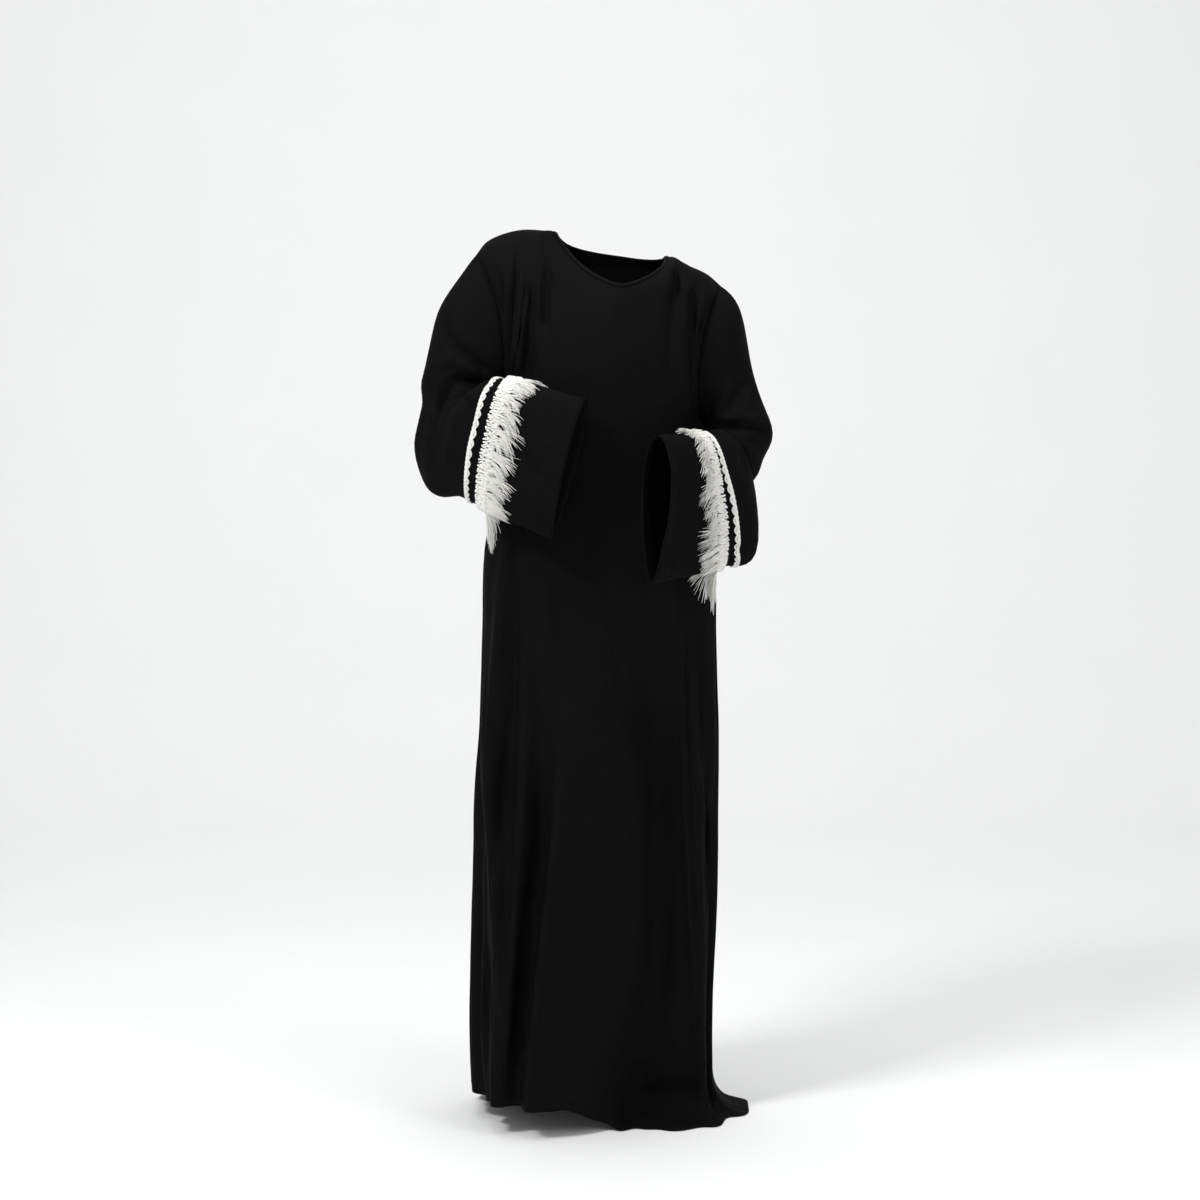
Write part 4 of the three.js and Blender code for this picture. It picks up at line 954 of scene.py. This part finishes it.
def braid(side):
    piece = "sleeve_" + side
    top, low = levels_between(piece, RINGS["braid"], (0.0, 1.0))
    width = low - top
    scallops = round(ring_length(piece, (top + low) / 2) / SCALLOP_PITCH)
    steps = scallops * SCALLOP_POINTS
    turn = np.arange(steps) / steps
    columns = turn * AROUND
    points, out, way, _ = on_sleeve(piece, (top + low) / 2, columns)

    def line(across, height):
        return points + way * (np.asarray(across) * width)[..., None] + out * np.asarray(height)[..., None]

    phase = turn * scallops * 2 * math.pi
    paths, radii = [], []
    for offset, height, radius in CORDS:
        ripple = 0.02 * np.sin(phase * 2 + offset * 9)
        paths.append(line(offset + ripple, height * MM + 0.2 * MM * np.sin(phase * 2)))
        radii.append(np.full(steps, radius * MM))
    arc = np.abs(np.sin(phase / 2))
    for inner, outer, radius in SCALLOPED:
        paths.append(line(mixed(inner, outer, arc), SCALLOP_LIFT + 0.4 * MM * np.cos(phase)))
        radii.append(np.full(steps, radius * MM) * (0.75 + 0.3 * arc))
    piece_out = yarns("crochet_braid_" + side, np.array(paths), np.array(radii), 8, closed=True)
    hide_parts("braid_" + side)
    return piece_out


braids = {side: braid(side) for side in SIDES}
print("braid faces:", [len(piece.data.polygons) for piece in braids.values()])

# %% [markdown]
# The fringe: a heading of soft loops, and yarns that leave it towards the cuff. They bunch into locks,
# as the ends of a combed fringe do, and gravity turns those on the underside straight down, where
# they hang as a tuft. Each yarn starts inside the heading, so no root shows.

# %% Fringe
CLUMPS = 104  # locks round one sleeve
HEADING_ROWS = 8
BUMP_PITCH = 7.7 * MM  # between the bumps on the heading's upper edge
YARNS = 1700
FRINGE_LENGTH = 51 * MM
TAPER = np.array([0.9, 1.0, 1.0, 1.0, 0.98, 0.92, 0.8, 0.4])  # thickness of a yarn from root to tip
FRINGE_STEPS = len(TAPER)
YARN_RADIUS = (0.34 * MM, 0.62 * MM)
LOOP_RADIUS = 1.6 * MM
LOOP_REACH = 4.4 * MM
LOOP_RISE = 3.4 * MM
BUMP = 1.3 * MM
DOWN = np.array([0.0, 0.0, -1.0])
LOCK = {  # ranges from which each lock draws its own values
    "gather": (0.2, 0.85),  # how far its yarns close up
    "slant": (-0.32, 0.32),  # sideways, for each step towards the cuff
    "length": (0.68, 1.12),
    "lift": (1.2, 6.5),  # of its tips, in mm
    "droop": (0.2, 0.65),
}
YARN = {"length": (0.74, 1.08), "root": (0.6, 3.4), "tip": (0.6, 1.4), "swing": (0.2, 1.5)}  # and each yarn


def laid_on(piece, level, column):
    """Points and normals of a sleeve's creased face at single places, read between its grid points."""
    points, normals = OUTER[piece]
    row = np.clip(level / length_of(piece) * (len(points) - 1), 0, len(points) - 1.001)
    turn = column * COLUMN_PARTS[piece] % points.shape[1]
    above, left = np.floor(row).astype(int), np.floor(turn).astype(int) % points.shape[1]
    down, across = (row - above)[:, None], (turn - np.floor(turn))[:, None]
    right = (left + 1) % points.shape[1]

    def between(grid):
        upper = mixed(grid[above, left], grid[above, right], across)
        return mixed(upper, mixed(grid[above + 1, left], grid[above + 1, right], across), down)

    return between(points), unit(between(normals))


def fringe_yarns(side):
    """Paths of the yarns, each from its root in the heading to its tip, bunched and drooping."""
    piece, count = "sleeve_" + side, YARNS
    columns = (np.arange(count) + chance.uniform(-0.5, 0.5, count)) / count * AROUND % AROUND
    (start,) = levels_between(piece, RINGS["heading"], (0.62,))
    point, out, way, around = on_sleeve(piece, start, columns)
    cell = ring_length(piece, start) / AROUND
    clump = np.floor(columns / AROUND * CLUMPS).astype(int)

    def of_lock(name):
        return chance.uniform(*LOCK[name], CLUMPS)[clump]

    def of_yarn(name):
        return chance.uniform(*YARN[name], count)

    to_middle = (clump + 0.5) / CLUMPS * AROUND - columns
    gather = of_lock("gather")
    slant = of_lock("slant") + chance.normal(0, 0.09, count)
    under = smooth(0.42, 0.85, -out[:, 2])
    length = FRINGE_LENGTH * of_lock("length") * of_yarn("length") * mixed(1, 1.35, under)
    root_lift = of_yarn("root") * MM
    tip_lift = of_yarn("tip") * of_lock("lift") * MM
    droop = of_lock("droop")
    steepest = unit(DOWN - out * (out @ DOWN)[:, None])
    fall_way, fall_round = (steepest * way).sum(axis=1), (steepest * around).sum(axis=1)
    wave = chance.uniform(0, 2 * math.pi, (count, 2))
    swing = of_yarn("swing") * MM
    level, column, free = np.full(count, start), columns.copy(), point + out * root_lift[:, None]
    path = [free]
    stride = length / (FRINGE_STEPS - 1)
    for step in range(1, FRINGE_STEPS):
        share = step / (FRINGE_STEPS - 1)
        go_way = 1 - droop * share + fall_way * droop * share
        go_round = slant + fall_round * droop * share
        go = stride / np.hypot(go_way, go_round)
        level = level + go * go_way
        column = column + go * go_round / cell + to_middle * gather / (FRINGE_STEPS - 1)
        on_cloth, lifted = laid_on(piece, level, column)
        on_cloth = on_cloth + lifted * mixed(root_lift, tip_lift, share)[:, None]
        fall = (0.95 * smooth(0.0, 0.45, np.array(share)) * np.ones(count))[:, None]
        free = free + unit(unit(way + around * slant[:, None]) * (1 - fall) + DOWN * fall) * stride[:, None]
        here = mixed(on_cloth, free, smooth(0.25, 0.75, under)[:, None])
        curl = swing * share * np.sin(wave[:, 0] + share * 5)
        rise = swing * share * np.cos(wave[:, 1] + share * 4) * 0.6
        path.append(here + around * curl[:, None] + out * rise[:, None])
    return np.stack(path, axis=1)


# %% Heading of the fringe


def heading_loops(side):
    """Rows of short fat yarn loops that cover the heading, with small bumps towards the black stripe."""
    piece = "sleeve_" + side
    top, low = levels_between(piece, RINGS["heading"], (0.0, 1.0))
    around = ring_length(piece, (top + low) / 2)
    paths, radii = [], []
    for row in range(HEADING_ROWS):
        share = row / (HEADING_ROWS - 1)
        count = 2 * round(around / BUMP_PITCH)  # every second loop of the first row stands out
        bump = (np.arange(count) % 2 if row == 0 else chance.uniform(-0.4, 0.4, count)) * BUMP
        columns = (np.arange(count) + 0.5 * (row % 2) + chance.uniform(-0.3, 0.3, count)) / count * AROUND
        level = mixed(top + 2.6 * MM, low - 0.5 * MM, share)
        point, out, way, turn = on_sleeve(piece, level, columns % AROUND)
        crown = chance.uniform(0.55, 1.25, count)[:, None] * LOOP_RISE
        lean = chance.uniform(-1.1, 1.1, count)[:, None] * MM
        steps = []
        for part in np.linspace(0, 1, 6):
            reach = way * ((part - 0.35) * LOOP_REACH - bump[:, None] * (1 - part))
            rise = out * (0.9 * MM + crown * math.sin(part * math.pi))
            steps.append(point + reach + rise + turn * lean * (2 * part - 1))
        paths.append(np.stack(steps, axis=1))
        radii.append(np.full((count, 6), LOOP_RADIUS) * chance.uniform(0.8, 1.15, (count, 1)))
    return np.concatenate(paths), np.concatenate(radii)


def fringe(side):
    strands = fringe_yarns(side)
    radii = chance.uniform(*YARN_RADIUS, (YARNS, 1)) * TAPER
    hanging = yarns("fringe_yarns_" + side, strands, radii, 4)
    loops, loop_radii = heading_loops(side)
    heading = yarns("fringe_heading_" + side, loops, loop_radii, 6)
    for piece in (hanging, heading):
        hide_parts("fringe_" + side)
    print("fringe", side, "faces", len(hanging.data.polygons) + len(heading.data.polygons))
    return hanging, heading


fringes = {side: fringe(side) for side in SIDES}

# %% [markdown]
# The crepe is a matt black cloth with a pebbled face, made by hard-twisted threads. From near it has a
# fine grain with hardly any direction, and from afar hardly any gloss. The grain is a node group, so
# that the cloth and its binding share it at their own strength, and it reads object coordinates,
# because a grain without direction needs no unwrapping.

# %% Shared grain


def add(tree, kind, **inputs):
    """A new shader node. Each value goes to the input of that name, with _ for a space."""
    node = tree.nodes.new("ShaderNode" + kind)
    for name, value in inputs.items():
        node.inputs[name.replace("_", " ")].default_value = value
    return node


def colour_mix(tree, dark, light):
    """A mix of two colours, which are values or the sockets of a group."""
    node = add(tree, "Mix")
    node.data_type = "RGBA"
    for name, colour in (("A", dark), ("B", light)):
        if isinstance(colour, tuple):
            node.inputs[name].default_value = (*colour, 1)
        else:
            tree.links.new(colour, node.inputs[name])
    return node


def crepe_grain_group():
    tree = bpy.data.node_groups.new("crepe_grain", "ShaderNodeTree")
    for name, way, kind in (
        ("Grain size", "INPUT", "Float"), ("Depth", "INPUT", "Float"),
        ("Dark", "INPUT", "Color"), ("Light", "INPUT", "Color"),
        ("Color", "OUTPUT", "Color"), ("Roughness", "OUTPUT", "Float"), ("Normal", "OUTPUT", "Vector"),
    ):
        tree.interface.new_socket(name=name, in_out=way, socket_type="NodeSocket" + kind)
    link = tree.links.new
    given, made = tree.nodes.new("NodeGroupInput").outputs, tree.nodes.new("NodeGroupOutput").inputs
    place = add(tree, "TexCoord").outputs["Object"]
    pebbles = add(tree, "TexVoronoi")
    pebbles.feature = "SMOOTH_F1"
    fine = add(tree, "TexNoise", Scale=420, Detail=3)
    broad = add(tree, "TexNoise", Scale=9, Detail=4)
    for texture in (pebbles, fine, broad):
        link(place, texture.inputs["Vector"])
    link(given["Grain size"], pebbles.inputs["Scale"])
    height = add(tree, "Math")
    link(pebbles.outputs["Distance"], height.inputs[0])
    link(fine.outputs["Fac"], height.inputs[1])
    bump = add(tree, "Bump", Distance=0.0006)
    link(given["Depth"], bump.inputs["Strength"])
    link(height.outputs[0], bump.inputs["Height"])
    tone = colour_mix(tree, given["Dark"], given["Light"])
    link(broad.outputs["Fac"], tone.inputs["Factor"])
    rough = add(tree, "MapRange", To_Min=0.62, To_Max=0.82)
    link(broad.outputs["Fac"], rough.inputs["Value"])
    link(tone.outputs["Result"], made["Color"])
    link(rough.outputs["Result"], made["Roughness"])
    link(bump.outputs["Normal"], made["Normal"])
    return tree


CREPE_GRAIN = crepe_grain_group()
print("grain nodes:", len(CREPE_GRAIN.nodes))

# %% Crepe and yarn
GRAIN_SIZE = 900  # pebbles per metre


def new_material(name, **inputs):
    """A material with its shader's own values, its nodes and its shader."""
    paint = bpy.data.materials.new(name)
    paint.use_nodes = True
    shader = paint.node_tree.nodes["Principled BSDF"]
    for key, value in inputs.items():
        shader.inputs[key.replace("_", " ")].default_value = value
    return paint, paint.node_tree, shader


def crepe_material(name, dark, light, depth, gloss):
    paint, tree, shader = new_material(name, Specular_IOR_Level=gloss)
    grain = tree.nodes.new("ShaderNodeGroup")
    grain.node_tree = CREPE_GRAIN
    values = {"Grain size": GRAIN_SIZE, "Depth": depth, "Dark": (*dark, 1), "Light": (*light, 1)}
    for key, value in values.items():
        grain.inputs[key].default_value = value
    for output, target in (("Color", "Base Color"), ("Roughness", "Roughness"), ("Normal", "Normal")):
        tree.links.new(grain.outputs[output], shader.inputs[target])
    return paint


def yarn_material(name, dark, light):
    """Soft cotton yarn: its twist is a slanted wave on the yarn's own map."""
    paint, tree, shader = new_material(name, Roughness=0.85, Specular_IOR_Level=0.25, Sheen_Weight=0.25)
    link = tree.links.new
    own_map = add(tree, "UVMap")
    own_map.uv_map = "cloth"
    turn = add(tree, "Mapping", Scale=(6.0, 1200.0, 1.0))
    twist = add(tree, "TexWave", Scale=1.0)
    twist.bands_direction = "DIAGONAL"
    link(own_map.outputs["UV"], turn.inputs["Vector"])
    link(turn.outputs["Vector"], twist.inputs["Vector"])
    patches = add(tree, "TexNoise", Scale=320, Detail=4)
    link(add(tree, "TexCoord").outputs["Object"], patches.inputs["Vector"])
    tone = colour_mix(tree, dark, light)
    link(patches.outputs["Fac"], tone.inputs["Factor"])
    link(tone.outputs["Result"], shader.inputs["Base Color"])
    bump = add(tree, "Bump", Strength=0.35, Distance=0.0004)
    link(twist.outputs["Fac"], bump.inputs["Height"])
    link(bump.outputs["Normal"], shader.inputs["Normal"])
    return paint


# %% [markdown]
# Black cloth in a white room picks up a grey veil from its glossy layer alone, so the specular level is
# low and there is no sheen. What is left of the gloss draws the folds.

# %% Materials on their pieces
CREPE_TONES = ((0.0036, 0.0036, 0.0038), (0.0056, 0.0056, 0.0059))
BINDING_TONES = ((0.0044, 0.0044, 0.0046), (0.0064, 0.0064, 0.0067))
YARN_TONES = ((0.76, 0.75, 0.715), (0.90, 0.89, 0.865))
yarn_pieces = [*braids.values(), *fringes["right"], *fringes["left"]]
dressed = {
    crepe_material("black_crepe", *CREPE_TONES, depth=0.35, gloss=0.02): [
        *shells.values(), *strips.values(), *turnings.values(), *stitch_rows.values(),
    ],
    crepe_material("black_binding", *BINDING_TONES, depth=0.2, gloss=0.03): [binding, neck_stitches],
    yarn_material("white_yarn", *YARN_TONES): yarn_pieces,
}
for paint, pieces in dressed.items():
    for piece in pieces:
        piece.data.materials.append(paint)
    print(paint.name, "on", len(pieces), "pieces")

# %% [markdown]
# The studio: a paper sweep that runs along the floor and curves up into a wall behind, as
# photographers hang it. It starts as a plane, and its far edge is extruded up in steps. Seen from
# behind, the paper lets the camera through, so that the back of the dress can be looked at too.

# %% Floor and wall
FLOOR = cad_box[0][2]
PAPER = 12  # side of the flat stretch of paper
PAPER_MIDDLE = (0, -3.8, FLOOR - 0.5 * MM)
SWEEP = [(0, 0.9, 0.12), (0, 0.5, 0.55), (0, 0.15, 1.3), (0, 0.05, 3.0)]  # each step of the far edge
CURL = 0.3  # how wide the corners of the sweep are rounded
SMALL_TURN = math.radians(5)


def paper_sweep():
    bpy.ops.object.select_all(action="DESELECT")
    bpy.ops.mesh.primitive_plane_add(size=PAPER, location=PAPER_MIDDLE)
    floor = bpy.context.object
    floor.name = "studio_floor"
    bpy.ops.object.transform_apply(location=True, rotation=False, scale=False)
    far = max(vertex.co.y for vertex in floor.data.vertices)
    bpy.ops.object.mode_set(mode="EDIT")
    bpy.ops.mesh.select_mode(type="EDGE")
    bpy.ops.mesh.select_all(action="DESELECT")
    mesh = bmesh.from_edit_mesh(floor.data)
    for edge in mesh.edges:
        edge.select = all(abs(vertex.co.y - far) < MM for vertex in edge.verts)
    bmesh.update_edit_mesh(floor.data)
    for step in SWEEP:
        bpy.ops.mesh.extrude_region_move(TRANSFORM_OT_translate={"value": step})
    bpy.ops.object.mode_set(mode="OBJECT")
    finish_modifier(floor, "BEVEL", width=CURL, segments=6, limit_method="ANGLE", angle_limit=SMALL_TURN)
    floor.data.polygons.foreach_set("use_smooth", [True] * len(floor.data.polygons))
    return floor


def paper_material():
    paint, tree, shader = new_material("pale_paper", Roughness=0.9, Specular_IOR_Level=0.1)
    link = tree.links.new
    mottle = add(tree, "TexNoise", Scale=3)
    link(add(tree, "TexCoord").outputs["Object"], mottle.inputs["Vector"])
    tone = colour_mix(tree, (0.90, 0.905, 0.91), (0.93, 0.932, 0.935))
    link(mottle.outputs["Fac"], tone.inputs["Factor"])
    link(tone.outputs["Result"], shader.inputs["Base Color"])
    link_either(
        tree, add(tree, "NewGeometry").outputs["Backfacing"], shader.outputs["BSDF"],
        add(tree, "BsdfTransparent").outputs["BSDF"], tree.nodes["Material Output"],
    )
    return paint


def link_either(tree, switch, unless, when, output):
    """Gives an output one shader where the switch is off and another where it is on."""
    either = add(tree, "MixShader")
    for source, target in zip((switch, unless, when), either.inputs):
        tree.links.new(source, target)
    tree.links.new(either.outputs["Shader"], output.inputs["Surface"])


floor = paper_sweep()
floor.data.materials.append(paper_material())
print("paper faces:", len(floor.data.polygons))

# %% [markdown]
# The light: a small key lamp high on the left models the folds, a weak fill keeps the other side
# readable, and a broad lamp above lights paper and shoulders. The room around is half as bright as the
# paper, which is enough for black cloth: more of it would wash the folds out. The camera alone sees
# the room as white as the paper, so that no grey band shows past its edge.

# %% Lamps and room


def soft_lamp(name, place, aim, size, power):
    bpy.ops.object.light_add(type="AREA", location=place)
    lamp = bpy.context.object
    lamp.name = name
    lamp.data.shape = "RECTANGLE"
    lamp.data.size, lamp.data.size_y = size
    lamp.data.energy = power
    way = np.array(aim) - np.array(place)
    flat = math.hypot(way[0], way[1])
    lamp.rotation_euler = (math.atan2(flat, -way[2]), 0, math.atan2(-way[0], way[1]))
    return lamp


LAMPS = {  # place, the place it is aimed at, its two sides and its power in watts
    "key": ((-2.0, -2.2, 2.0), (0, 0, -0.35), (0.8, 0.8), 85),
    "fill": ((2.8, -2.6, 0.9), (0, 0, -0.6), (1.6, 2.0), 34),
    "top": ((0, -0.2, 2.6), (0, 0.8, -1), (3.0, 3.0), 57),
}
for name, settings in LAMPS.items():
    soft_lamp(name, *settings)

WHITE = (1, 1, 1, 1)
ROOM_LIGHT = 0.5
ROOM_SEEN = 0.9


def studio_room():
    world = bpy.data.worlds.new("studio")
    world.use_nodes = True
    tree = world.node_tree
    tree.nodes.remove(tree.nodes["Background"])
    light, seen = (add(tree, "Background", Color=WHITE, Strength=power) for power in (ROOM_LIGHT, ROOM_SEEN))
    link_either(
        tree, add(tree, "LightPath").outputs["Is Camera Ray"], light.outputs["Background"],
        seen.outputs["Background"], tree.nodes["World Output"],
    )
    return world


bpy.context.scene.world = studio_room()
print("lamps:", ", ".join(LAMPS))

# %% [markdown]

for side in SIDES:
    piece = "sleeve_" + side
